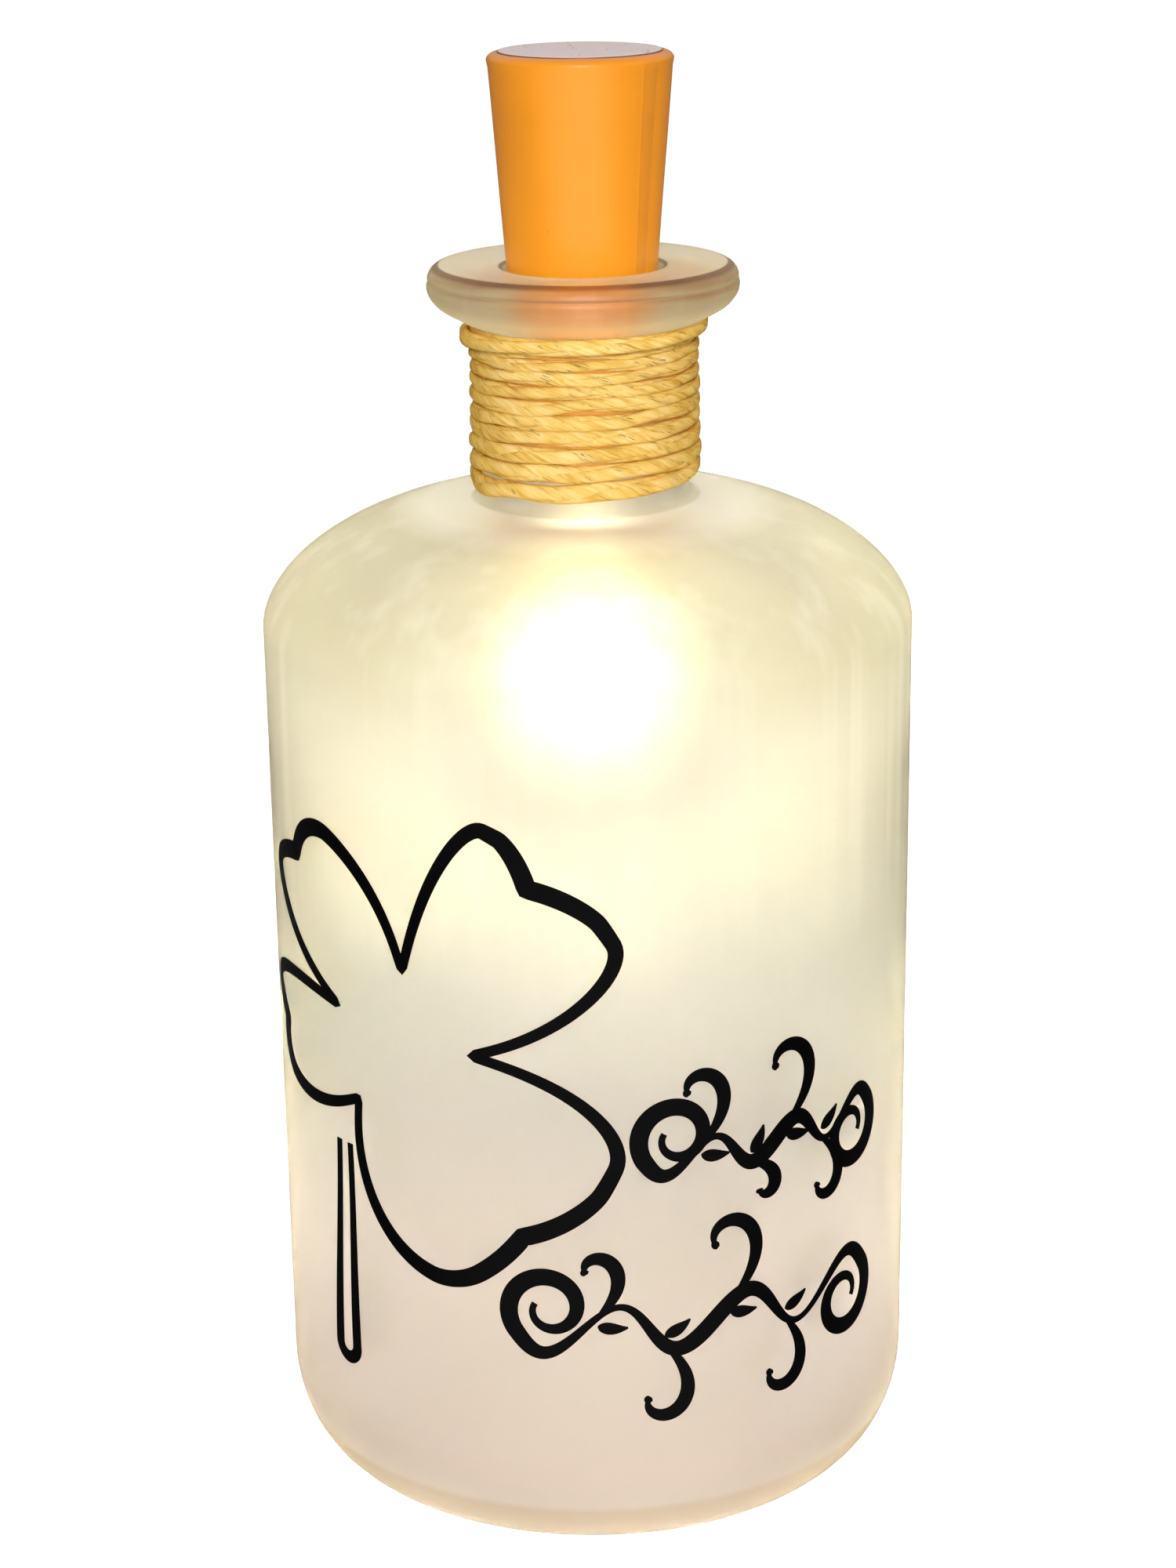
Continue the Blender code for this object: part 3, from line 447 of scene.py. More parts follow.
def glassProfile():
    s = glassShape
    foot, fillet = s["footWidth"], s["neckFillet"]
    insideWall = [(0.0, s["floorTop"])]
    insideWall += arcPoints((s["innerRadius"] - foot, s["floorTop"] + foot), (foot, foot), -90, 0, 12)
    insideWall += [(s["innerRadius"], z) for z in (0.035, 0.060, 0.085)]
    insideWall += shoulderLine(s["boreRadius"], s["innerRadius"], s["shoulderStart"], s["innerRise"], 0, 80, 20)
    insideWall += [(s["boreRadius"] + 0.00025, 0.1249), (s["boreRadius"], 0.1262), (s["boreRadius"], 0.1400)]
    lip = [
        (0.00945, 0.15300), (0.00953, 0.15395), (0.00985, 0.15455), (0.01060, 0.15482), (0.01250, 0.15496),
        (0.01450, 0.15508), (0.01600, 0.15516), (0.01690, 0.15516), (0.01770, 0.15502), (0.01835, 0.15462),
        (0.01875, 0.15408), (0.01892, 0.15352), (0.01882, 0.15322), (0.01893, 0.15300), (0.01903, 0.15262),
        (0.01900, 0.15215), (0.01880, 0.15150), (0.01838, 0.15085), (0.01780, 0.15022), (0.01700, 0.14968),
        (0.01610, 0.14920), (0.01520, 0.14868), (0.01440, 0.14830), (0.01368, 0.14800), (0.01312, 0.14760),
        (0.01285, 0.14690), (0.01280, 0.14600),
    ]
    skin = curveThrough(lip, 3)
    neckFoot = s["shoulderStart"] + s["shoulderRise"]
    skin += [(s["neckRadius"], 0.138), (s["neckRadius"], 0.132)]
    skin += arcPoints((s["neckRadius"] + fillet, neckFoot + fillet - 0.0001), (fillet, fillet), 180, 262, 8)
    skin += shoulderLine(s["neckRadius"], s["bodyRadius"], s["shoulderStart"], s["shoulderRise"], 74, 0, 26)
    skin += [(s["bodyRadius"], z) for z in (0.090, 0.070, 0.050, 0.030)]
    skin += arcPoints((s["bodyRadius"] - foot, s["footHeight"]), (foot, s["footHeight"]), 0, -90, 16)
    ringInner = s["bodyRadius"] - foot - s["ringWidth"]
    skin += [(ringInner * math.cos(a), s["puntDepth"] * math.sin(a)) for a in np.radians(np.linspace(0, 80, 10))]
    skin += [(0.0, s["puntDepth"])]
    return insideWall, skin


def makeBottle():
    insideWall, skin = glassProfile()
    profile = insideWall + skin
    slots = [1] * len(insideWall) + [0] * len(skin)

    def ripple(index, angle, height):
        # blown glass is never quite even inside
        low, high = glassShape["rippleSpan"]
        if index >= len(insideWall) or not low < height < high:
            return 0.0
        wave = math.sin(5.0 * angle + 40.0 * height) + 0.6 * math.sin(11.0 * angle - 25.0 * height + 1.3)
        return glassShape["wallRipple"] * wave * min(1.0, min(height - low, high - height) / glassShape["rippleFade"])

    mesh = turned("frostedBottle", profile, glassShape["steps"], [frostedSkin(), smoothGlass()], slots, ripple)
    link("frostedBottle", mesh, "bottle", "frosted_glass", "frosted_bottle")


makeBottle()
print("glass done")

# twine: two flat papery plies laid loosely together and wound on the neck by hand
twineShape = {
    "Neck Radius": 0.01285,
    "Low": 0.12825,
    "High": 0.14825,
    "Turns": 11.1,
    "Crowding": 0.33,
    "Ply Height": 0.00073,
    "Ply Depth": 0.00052,
    "Ply Offset": 0.00020,
    "Twists": 24.0,
    "Wander": 0.00042,
    "Start Angle": 1.2,
    "Points": 1500,
    "Seed": 3.0,
}
tailShape = {
    "Neck Radius": 0.01400,
    "Low": 0.1462,
    "High": 0.14835,
    "Turns": 0.80,
    "Crowding": 0.0,
    "Twists": 1.6,
    "Wander": 0.00015,
    "Start Angle": -3.9,
    "Points": 110,
    "Seed": 8.0,
}
twineColours = {
    "pale": (0.95, 0.69, 0.27),
    "middle": (0.86, 0.55, 0.135),
    "dark": (0.66, 0.36, 0.05),
    "foldShade": (0.25, 0.10, 0.010),
    "sideShade": (0.86, 0.76, 0.27),
}


def twineSurface():
    material, shader, _ = startSurface("paperyTwine", Roughness=0.5, Specular_IOR_Level=0.08)
    # in this attribute x and y go round the ply, and z runs along it
    lie = put("ShaderNodeAttribute", attribute_name="lie").outputs["Vector"]
    wrinkle = noise(stretched(lie, (2.6, 2.6, 0.35)), 1.0, 3.0, 0.55)
    fine = noise(stretched(lie, (11.0, 11.0, 1.6)), 1.0, 4.0, 0.7)
    patch = noise(stretched(lie, (0.8, 0.8, 0.5)), 1.0, 2.0)
    # the tone follows the wrinkles, darker in their dents as painted shade, and also varies in patches
    stops = [(0.36, twineColours["dark"]), (0.50, twineColours["middle"]), (0.66, twineColours["pale"])]
    base = rampColour(scaled(wrinkle, 0.55, times(patch, 0.50)), stops)
    # painted shade in short splits where the paper folds
    split = noise(stretched(lie, (3.6, 3.6, 0.32)), 1.0, 1.0)
    split = spread(maths("ABSOLUTE", minus(split, 0.5)), 0.0, 0.020, 1.0, 0.0)
    split = times(split, spread(noise(stretched(lie, (0.9, 0.9, 0.7)), 1.0, 1.0), 0.56, 0.62))
    base = mixColour(times(split, 0.85), base, twineColours["foldShade"])
    # painted shade darkens and warms the ply's sides, where they turn away
    base = mixColour(spread(facingShare(), 0.25, 0.95), base, twineColours["sideShade"], "MULTIPLY")
    height = minus(plus(wrinkle, times(fine, 0.35)), times(split, 0.5))
    feed(shader, Base_Color=base, Roughness=scaled(fine, 0.3, 0.35), Normal=bumped(height, 0.00015))
    return material


def twineTree(material):
    given = startTree("woundTwine", twineShape)

    def stored(geometry, name, value, kind="FLOAT"):
        values = {0: geometry, "Name": name, "Value": value}
        return made("GeometryNodeStoreNamedAttribute", values, data_type=kind, domain="POINT")

    def read(name, kind="FLOAT"):
        return made("GeometryNodeInputNamedAttribute", {"Name": name}, data_type=kind)

    line = made("GeometryNodeMeshLine", {"Count": given["Points"], "Offset": (0.0, 0.0, 0.001)})
    share = maths("DIVIDE", made("GeometryNodeInputIndex"), minus(given["Points"], 1.0))
    angle = plus(times(share, times(given["Turns"], fullTurn)), given["Start Angle"])
    # turns lie closer together near the top, and are thinner there
    eased = plus(share, times(given["Crowding"], times(share, minus(1.0, share))))
    climb = times(eased, minus(given["High"], given["Low"]))
    thickness = scaled(scaled(share, -2.0, 1.0), given["Crowding"], 1.0)

    def drift(scale, shiftBy, size):
        # slow noise that differs from turn to turn
        depth = scaled(angle, 0.19, plus(given["Seed"], shiftBy))
        where = joined(maths("COSINE", angle), maths("SINE", angle), depth)
        return times(minus(noise(where, scale, 1.0), 0.5), times(given["Wander"], size))

    height = plus(plus(given["Low"], climb), drift(1.3, 0.0, 3.0))
    centreRadius = plus(plus(given["Neck Radius"], given["Ply Depth"]), plus(drift(2.0, 9.0, 1.6), 0.00012))

    # a rounded, flattened section
    spot = made("GeometryNodeInputPosition")
    ring = made("GeometryNodeCurvePrimitiveCircle", {"Resolution": 16, "Radius": 1.0})
    ring = stored(ring, "around", spot, "FLOAT_VECTOR")
    squared = [times(maths("SIGN", side), maths("POWER", maths("ABSOLUTE", side), 0.80)) for side in parts(spot)[:2]]
    flat = times(squared[0], maths("DIVIDE", given["Ply Depth"], given["Ply Height"]))
    ring = placed(ring, joined(flat, squared[1]))

    plies = []
    for phase in (0.0, math.pi):
        twist = plus(times(share, times(given["Twists"], fullTurn)), phase)
        twist = plus(twist, times(drift(0.9, 4.0, 1.0), 4200.0))
        reach = scaled(maths("COSINE", twist), given["Ply Offset"], centreRadius)
        level = scaled(maths("SINE", twist), times(given["Ply Offset"], 1.25), height)
        ply = placed(line, onRing(reach, angle, level))
        ply = stored(ply, "along", scaled(angle, 9.0, phase * 7.0))
        ply = stored(ply, "turn", scaled(angle, -8.5, times(drift(3.0, 31.0, 1.0), 3000.0)))
        ply = made("GeometryNodeSetCurveNormal", {0: made("GeometryNodeMeshToCurve", {0: ply})}, mode="Z_UP")
        swell = plus(thickness, times(drift(5.0, 17.0, 1.0), 600.0))
        plies.append(swept(ply, ring, times(given["Ply Height"], swell)))
    # the pattern turns with the ply, faster than the plies turn round each other
    around = {"Vector": read("around", "FLOAT_VECTOR"), "Angle": read("turn")}
    swung = made("ShaderNodeVectorRotate", around, rotation_type="Z_AXIS")
    lie = made("ShaderNodeVectorMath", {0: swung, 1: joined(0.0, 0.0, read("along"))}, operation="ADD")
    return endTree(stored(merged(*plies), "lie", lie, "FLOAT_VECTOR"), material)


def makeTwine():
    tree = twineTree(twineSurface())
    link("neckTwine", grown("neckTwine", tree, twineShape), "bottle", "jute", "neck_twine")
    link("twineTail", grown("twineTail", tree, {**twineShape, **tailShape}), "bottle", "jute")


makeTwine()
print("twine wound")

# vinyl ornament: strokes drawn flat, then laid on the glass
vinylShape = {"Wall Radius": 0.0405, "Gap": 0.00002, "Film": 0.00008}
cloverShape = {
    "centre": (-0.0253, 0.06614),
    "hollow": 0.0106,
    "notch": 0.0032,
    "lobeShare": 0.64,
    "thin": 0.0013,
    "thick": 0.0024,
    # per leaf: degrees of the hollow before it and of its notch, its reach, and how far up each side rises
    "leaves": (
        (6.0, 52.0, 0.0320, 0.52, 0.52),
        (83.0, 133.0, 0.0310, 0.95, 0.60),
        (162.0, 188.0, 0.0285, 0.60, 1.00),
        (231.0, 307.0, 0.0305, 0.80, 0.52),
    ),
}
stemShape = {
    "topShift": (-0.0030, -0.0066),
    "foot": 0.02307,
    "lean": -0.0009,
    "halfWidth": 0.0018,
    "topShare": 0.60,
    "thin": 0.0010,
    "thick": 0.0017,
}
rowShapes = {
    "upper": {
        "middle": (0.0230, 0.05430),
        "half": 0.0172,
        "curl": 0.0049,
        # per tendril: place on the wave, side, length, turns of its curl
        "tendrils": (
            (-0.60, 1, 0.021, 0.72), (-0.18, -1, 0.012, 0.70), (0.08, 1, 0.024, 0.72), (0.45, -1, 0.018, 0.72)
        ),
    },
    "lower": {
        "middle": (0.0146, 0.03212),
        "half": 0.0248,
        "curl": 0.0052,
        "tendrils": (
            (-0.60, 1, 0.018, 0.72), (-0.24, -1, 0.022, 0.72), (0.07, 1, 0.026, 0.76), (0.42, -1, 0.021, 0.72)
        ),
    },
}
waveShape = {
    "share": 0.125, "waves": 3, "slant": 0.18, "thin": 0.0008, "thick": 0.0023,
    "tendrilWidth": 0.0019, "tendrilTip": 0.0004, "tendrilEnd": 0.0011,
    "leafLength": 0.0040, "leafWidth": 0.0014, "leafTip": 0.0002, "leafShift": 0.0012,
    "curlStart": 0.34, "curlTurn": 2.3 * math.pi,
}
vinylColours = ((0.0004, 0.0004, 0.0004), (0.0012, 0.0012, 0.0012))


def vinylSurface():
    material, shader, place = startSurface("cutVinyl", Specular_IOR_Level=0.03)
    base = mixColour(noise(place, 300.0), *vinylColours)
    rough = scaled(noise(place, 900.0), 0.20, 0.34)
    feed(shader, Base_Color=base, Roughness=rough, Normal=bumped(noise(place, 1500.0, 2.0), 0.00001))
    return material


def strokeTree(material):
    given = startTree("laidStrokes", vinylShape)
    ribbon = made("GeometryNodeCurvePrimitiveQuadrilateral", {"Width": 2.0, "Height": 0.5}, mode="RECTANGLE")
    line = made("GeometryNodeSetCurveNormal", {0: given["Geometry"]}, mode="Z_UP")
    mesh = swept(line, ribbon, made("GeometryNodeInputRadius"))
    across, up, out = parts(made("GeometryNodeInputPosition"))
    film = times(maths("GREATER_THAN", out, 0.0), given["Film"])
    reach = plus(plus(given["Wall Radius"], given["Gap"]), film)
    turn = maths("DIVIDE", across, given["Wall Radius"])
    wrapped = joined(times(reach, maths("SINE", turn)), times(times(reach, -1.0), maths("COSINE", turn)), up)
    return endTree(placed(mesh, wrapped), material, False)


def strokes(name, paths):
    # each path is (arc, height, width) points and whether it closes
    curve = bpy.data.curves.new(name, "CURVE")
    curve.dimensions = "3D"
    for points, closed in paths:
        line = curve.splines.new("POLY")
        line.points.add(len(points) - 1)
        line.use_cyclic_u = closed
        for target, (x, z, width) in zip(line.points, points):
            target.co = (x, z, 0.0, 1.0)
            target.radius = width / 2.0
    return curve


def swollen(points, swells, shape, power=1.0):
    # the points with a width each, thin at the ends and thick between
    shares = (0.5 - 0.5 * np.cos(np.arange(len(points)) * fullTurn * swells / len(points))) ** power
    widths = shape["thin"] + (shape["thick"] - shape["thin"]) * shares
    return [(x, z, width) for (x, z), width in zip(points, widths)]


def cloverPlace(reach, degrees):
    angle = math.radians(degrees)
    return (cloverShape["centre"][0] + reach * math.cos(angle), cloverShape["centre"][1] + reach * math.sin(angle))


def cloverPath(steps=120):
    s = cloverShape
    points = []
    nextHollows = [following[0] for following in s["leaves"][1:] + s["leaves"][:1]]
    for (hollow, notch, leafReach, first, second), nextHollow in zip(s["leaves"], nextHollows):
        for share in np.arange(steps) * 2.0 / steps:
            away = min(share, 2.0 - share)
            degrees = hollow + (notch - hollow) * share
            if share >= 1.0:
                degrees = notch + ((nextHollow - notch) % 360.0) * (share - 1.0)
            rise = min(1.0, away / (first if share < 1.0 else second))
            swell = (rise * rise * (3.0 - 2.0 * rise)) ** 0.66
            dip = s["notch"] * max(0.0, (away - s["lobeShare"]) / (1.0 - s["lobeShare"])) ** 1.3
            points.append(cloverPlace(s["hollow"] + (leafReach - s["hollow"]) * swell - dip, degrees))
    return swollen(points, len(s["leaves"]), s, 0.8), True


def stemPath():
    s = stemShape
    hollowX, hollowZ = cloverPlace(cloverShape["hollow"], cloverShape["leaves"][-1][0])
    start, top = hollowX + s["topShift"][0], hollowZ + s["topShift"][1]
    left, right = [], []
    for down in np.linspace(0.0, 1.0, 60)[:-1]:
        middle = start + s["lean"] * down * down * (3.0 - 2.0 * down)
        half = s["halfWidth"] * (s["topShare"] + (1.0 - s["topShare"]) * down)
        height = top - (top - s["foot"]) * down
        left.append((middle - half, height))
        right.append((middle + half, height))
    foot = arcPoints((start + s["lean"], s["foot"]), (s["halfWidth"],) * 2, 180.0, 360.0, 24)
    return swollen(left + foot + right[::-1], 1, s), False


def walked(start, runs, headings):
    # the points that short runs along the headings lead to
    steps = (runs * np.cos(headings), runs * np.sin(headings))
    return [first + np.concatenate([[0.0], np.cumsum(way)]) for first, way in zip(start, steps)]


def tendril(start, heading, length, tight, side, steps=60):
    # a line that curls up more and more, thin at both ends
    w = waveShape
    shares = (np.arange(steps) + 0.5) / steps
    bend = side * tight * fullTurn * shares**1.7
    x, z = walked(start, length / steps * (1.0 - 0.55 * shares), heading + bend)
    along = np.clip(np.linspace(0.0, 1.0, steps + 1) * 1.05, 0.0, 1.0)
    widths = w["tendrilTip"] + (w["tendrilWidth"] - w["tendrilTip"]) * np.sin(math.pi * along) ** 0.8
    widths[-6:] = np.maximum(widths[-6:], w["tendrilEnd"] * np.sin(np.linspace(0.6, 2.6, 6)))
    return list(zip(x, z, widths)), False


def leaf(start, heading, steps=16):
    shares = np.linspace(0.0, 1.0, steps)
    x, z = walked(start, waveShape["leafLength"] / steps, (heading + 0.5 * shares)[:-1])
    widths = waveShape["leafTip"] + waveShape["leafWidth"] * np.sin(math.pi * shares**0.7)
    return list(zip(x, z, widths)), False


def scrollPaths(row):
    # a slanted wave with a curl at each end, and tendrils that leave it on both sides
    half, curl = row["half"], row["curl"]
    rate = math.pi * waveShape["waves"]
    size = half * waveShape["share"]

    def onWave(share):
        wave = size * math.sin(share * rate)
        return (share * half + waveShape["slant"] * wave, wave)

    leave = math.atan2(waveShape["slant"] * size * rate - half, -size * rate)
    centre = (-half - curl * math.cos(leave), -curl * math.sin(leave))
    side = []
    turns = np.linspace(leave - waveShape["curlTurn"], leave, 70)
    for share, turn in zip(np.linspace(waveShape["curlStart"], 1.0, 70), turns):
        side.append((centre[0] + curl * share * math.cos(turn), centre[1] + curl * share * math.sin(turn)))
    side += [onWave(share) for share in np.linspace(-1.0, 0.0, 110)[1:-1]]
    whole = side + [(-x, -z) for x, z in reversed(side)]
    lines = [(swollen(whole, waveShape["waves"], waveShape, 0.8), False)]
    for place, way, length, turns in row["tendrils"]:
        at = onWave(place)
        rise = size * rate * math.cos(place * rate)
        slope = math.atan2(rise, half + waveShape["slant"] * rise)
        lines.append(tendril(at, slope + way * 0.15, length, turns, way))
        lines.append(leaf((at[0], at[1] - way * waveShape["leafShift"]), slope - way))
    cx, cz = row["middle"]
    return [([(x + cx, z + cz, w) for x, z, w in points], closed) for points, closed in lines]


def makeVinyl():
    tree = strokeTree(vinylSurface())
    for name, paths, stoodFor in (
        ("clover", [cloverPath()], "clover_decal"),
        ("cloverStem", [stemPath()], "clover_stem_decal"),
        ("upperScroll", scrollPaths(rowShapes["upper"]), "upper_scroll_decal"),
        ("lowerScroll", scrollPaths(rowShapes["lower"]), "lower_scroll_decal"),
    ):
        link(name, grown(name, tree, vinylShape, strokes(name, paths)), "bottle", "black_vinyl", stoodFor)


makeVinyl()
print("ornament laid")

# stopper body: glossy orange plastic from a two-part mould
stopperLook = {
    "colour": (0.86, 0.300, 0.003),
    "shade": (0.79, 0.255, 0.002),
    "stopperGlow": (1.0, 0.44, 0.03),
    "glowTop": 0.172,
    "glowBase": 0.142,
    "glowPower": 0.19,
    "mouthHeight": 0.1535,
    "mouthGlow": 0.72,
    "innerFade": 0.0075,
    "top": 0.18042,
    "base": 0.13042,
    "topRadius": 0.011195,
    "endRadius": 0.007295,
    "wellRadius": 0.009895,
    "rimSink": 0.00028,
    "rimDrop": 0.0009,
    "endRound": 0.0006,
    "partingAngle": math.radians(-47.5),
    "facetDepth": 0.00042,
    "facetWidth": 0.28,
    "seamHeight": 0.00006,
    "unevenness": 0.00006,
    "steps": 360,
}


def orangeSurface():
    s = stopperLook
    material, shader, place = startSurface("orangePlastic", Specular_IOR_Level=0.45, Emission_Color=s["stopperGlow"])
    cloud = noise(place, 130.0, 4.0, 0.6)
    base = mixColour(cloud, s["shade"], s["colour"])
    streak = noise(stretched(place, (1.0, 1.0, 0.06)), 900.0, 2.0)
    pits = put("ShaderNodeTexVoronoi", {"Vector": place, "Scale": 900.0}).outputs["Distance"]
    pit = times(spread(pits, 0.05, 0.20, 1.0, 0.0), maths("GREATER_THAN", noise(place, 420.0, 1.0), 0.60))
    grain = bumped(noise(place, 2600.0), 0.000012)
    normal = bumped(minus(times(streak, 0.25), pit), 0.00004, grain)
    rough = minus(scaled(cloud, 0.16, 0.32), times(pit, 0.22))
    # a painted glow stands in for the light below: strong on the part inside the neck, fading out at the mouth, and
    # faint higher up
    level = parts(place)[2]
    lit = spread(level, s["glowBase"], s["glowTop"], s["glowPower"], 0.0)
    inner = spread(level, s["mouthHeight"] - s["innerFade"], s["mouthHeight"], s["mouthGlow"], 0.0)
    feed(shader, Base_Color=base, Roughness=rough, Normal=normal, Emission_Strength=maths("MAXIMUM", lit, inner))
    return material


def makeStopper():
    s = stopperLook
    # the rim falls away from the disc's edge in one soft round
    rimTop = s["top"] - s["rimSink"]
    rimWidth, bend = s["topRadius"] - s["wellRadius"], s["endRound"]
    outer = arcPoints((s["wellRadius"], rimTop - s["rimDrop"]), (rimWidth, s["rimDrop"]), 90, 0, 10)
    rimCount = len(outer)
    for t in np.linspace(0.04, 0.985, 24):
        outer.append((s["topRadius"] + (s["endRadius"] - s["topRadius"]) * t, s["top"] + (s["base"] - s["top"]) * t))
    outer += arcPoints((s["endRadius"] - bend, s["base"] + bend), (bend, bend), 0, -90, 5)

    def mould(index, angle, height):
        # the wall turns in sharply at each parting line and comes back slowly, and is a little uneven
        if not rimCount <= index < len(outer):
            return 0.0
        away = ((angle - s["partingAngle"]) % math.pi) / s["facetWidth"]
        facet = away if away < 1.0 else max(0.0, 1.5 - 0.5 * away)
        wave = math.sin(3.0 * angle + 150.0 * height) + 0.8 * math.sin(7.0 * angle + 60.0 * height)
        seam = 1.0 if away < 1.2 * fullTurn / s["steps"] / s["facetWidth"] else 0.0
        return s["unevenness"] * wave - s["facetDepth"] * facet + s["seamHeight"] * seam

    mesh = turned("stopperBody", outer + cadHollow(), s["steps"], [orangeSurface()], None, mould)
    link("stopperBody", mesh, "cork", "orange_plastic", "cork_sleeve")


# room between the stopper's hollow and the pieces inside it
hollowShape = {
    "gap": 0.0003,
    "flangeDepth": 0.0013,
    "trayWall": 0.00135,
    "cupWall": 0.0012,
    "ledgeDepth": 0.0013,
    "boardRoom": 0.0050,
}


def cadHollow():
    h = hollowShape
    base, ledge = stopperLook["base"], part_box("core_frame")[1].z - h["ledgeDepth"]
    ledBoard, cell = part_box("led_board")[1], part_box("upper_cell")[1]
    tube, board = guideRadius() + h["gap"], ledBoard.x + h["gap"]
    tray, cup = cell.x + h["trayWall"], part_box("switch_board")[1].x + h["cupWall"]
    return [
        (tube, base),
        (tube, base + h["flangeDepth"]),
        (board, base + h["flangeDepth"]),
        (board, ledBoard.z + h["boardRoom"]),
        (tray, ledBoard.z + h["boardRoom"]),
        (tray, cell.z + 0.0005),
        (cup, cell.z + 0.0006),
        (cup, ledge),
        (stopperLook["wellRadius"], ledge),
    ]


def guideRadius():
    # the tube below the stopper, leaving out its flange
    spots = [v.co for v in nodes["light_guide"].data.vertices if v.co.z < stopperLook["base"]]
    return max(math.hypot(spot.x, spot.y) for spot in spots)


makeStopper()

# button: pale plastic, scuffed by fingers
buttonLook = {
    "colour": (0.88, 0.64, 0.59),
    "worn": (0.92, 0.83, 0.80),
    "scratch": (0.50, 0.40, 0.44),
    "edge": (0.26, 0.10, 0.08),
    "scratchDepth": 0.00002,
    "crown": 0.00006,
    "rise": 0.00034,
    "spareRadius": 0.00018,
    "edgeRound": 0.00010,
    "thickness": 0.0016,
    "bossRadius": 0.0020,
}


def scuffedSurface():
    material, shader, place = startSurface("scuffedPale")
    lines = []
    for angle, scale in ((0.4, 1560.0), (1.9, 1980.0), (2.7, 1260.0)):
        values = {"Vector": place, "Rotation": (0.0, 0.0, angle), "Scale": (1.0, 0.05, 1.0)}
        lines.append(spread(noise(made("ShaderNodeMapping", values), scale, 2.0), 0.66, 0.72))
    scratches = maths("MAXIMUM", maths("MAXIMUM", lines[0], lines[1]), lines[2])
    cloud = noise(place, 420.0, 4.0, 0.7)
    base = mixColour(cloud, buttonLook["colour"], buttonLook["worn"])
    base = mixColour(times(scratches, 0.6), base, buttonLook["scratch"])
    # painted shade darkens the disc's rounded edge, where it meets the rim
    base = mixColour(spread(upwardShare(), 0.5, 0.85, 1.0, 0.0), base, buttonLook["edge"])
    rough = scaled(cloud, 0.3, scaled(scratches, 0.2, 0.28))
    height = minus(times(cloud, 0.3), scratches)
    feed(shader, Base_Color=base, Roughness=rough, Normal=bumped(height, buttonLook["scratchDepth"]))
    return material


def makeButton():
    b = buttonLook
    low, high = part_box("top_button")
    radius, edge = high.x + b["spareRadius"], b["edgeRound"]
    top, under = high.z + b["rise"], high.z - b["thickness"]
    profile = [(0.0, top)]
    profile += [(radius * t, top - b["crown"] * t * t) for t in (0.3, 0.6, 0.85)]
    profile += arcPoints((radius - edge, top - b["crown"] - edge), (edge, edge), 90, 0, 4)
    profile += [(radius, under), (b["bossRadius"], under), (b["bossRadius"], low.z), (0.0, low.z)]
    link("pressDisc", turned("pressDisc", profile, 96, [scuffedSurface()]), "button", "pale_plastic", "top_button")


makeButton()
print("stopper and button done")

# light guide: milky tube, brightest at its tip
guideLook = {
    "colour": (1.0, 0.93, 0.78),
    "glow": (1.0, 0.91, 0.56),
    "tipGlow": 900.0,
    "tubeGlow": 26.0,
    # heights above the tip: the glow falls between the first two and fades out by the third
    "glowSteps": (0.0015, 0.0065, 0.027),
    "wall": 0.0009,
    "flangeHeight": 0.0012,
}


def guideSurface():
    g = guideLook
    near, middle, far = (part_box("light_guide")[0].z + step for step in g["glowSteps"])
    material, shader, place = startSurface(
        "milkyGuide", Roughness=0.4, Base_Color=g["colour"], Emission_Color=g["glow"]
    )
    height = parts(place)[2]
    strength = spread(height, near, middle, g["tipGlow"], g["tubeGlow"])
    strength = times(strength, spread(height, middle, far, 1.0, 0.02))
    cloud = noise(place, 500.0)
    feed(shader, Emission_Strength=times(strength, scaled(cloud, 0.3, 0.85)), Normal=bumped(cloud, 0.00002))
    return material


def makeGuide():
    low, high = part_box("light_guide")
    radius, flange = guideRadius(), high.x
    bore, flangeFoot = radius - guideLook["wall"], high.z - guideLook["flangeHeight"]
    centre = (0.0, low.z + radius)
    inside = [(0.0, centre[1] - bore)] + arcPoints(centre, (bore, bore), -90, 0, 10)[1:]
    rim = [(bore, high.z), (flange, high.z), (flange, flangeFoot), (radius, flangeFoot)]
    outside = [(radius, stopperLook["base"] - 0.002), (radius, low.z + 0.012)]
    outside += arcPoints(centre, (radius, radius), 0, -90, 12)[:-1] + [(0.0, low.z)]
    mesh = turned("lightGuide", inside + rim + outside, 64, [guideSurface()])
    link("lightGuide", mesh, "cork", "milky_guide", "light_guide")


makeGuide()
print("light guide done")

# the core's own surfaces
coreColours = {
    "white": (0.80, 0.80, 0.77),
    "board": (0.015, 0.17, 0.065),
    "trace": (0.03, 0.27, 0.10),
    "copper": (0.72, 0.50, 0.22),
    "black": (0.018, 0.018, 0.020),
    "ceramic": (0.50, 0.38, 0.24),
    "steel": (0.60, 0.60, 0.58),
    "cell": (0.70, 0.70, 0.68),
    "brass": (0.80, 0.56, 0.22),
    "resin": (1.0, 0.84, 0.45),
    "phosphor": (0.95, 0.70, 0.12),
    "ledGlow": (1.0, 0.86, 0.55),
    "red": (0.58, 0.02, 0.02),
    "solder": (0.62, 0.62, 0.60),
}


def dimmer(colour, share):
    return tuple(c * share for c in colour)


def mouldedSurface(name, colour, roughness=0.45):
    material, shader, place = startSurface(name)
    cloud = noise(place, 350.0, 4.0, 0.6)
    base = mixColour(cloud, dimmer(colour, 0.86), colour)
    rough = scaled(cloud, 0.2, roughness - 0.1)
    feed(shader, Base_Color=base, Roughness=rough, Normal=bumped(noise(place, 4000.0), 0.000012))
    return material


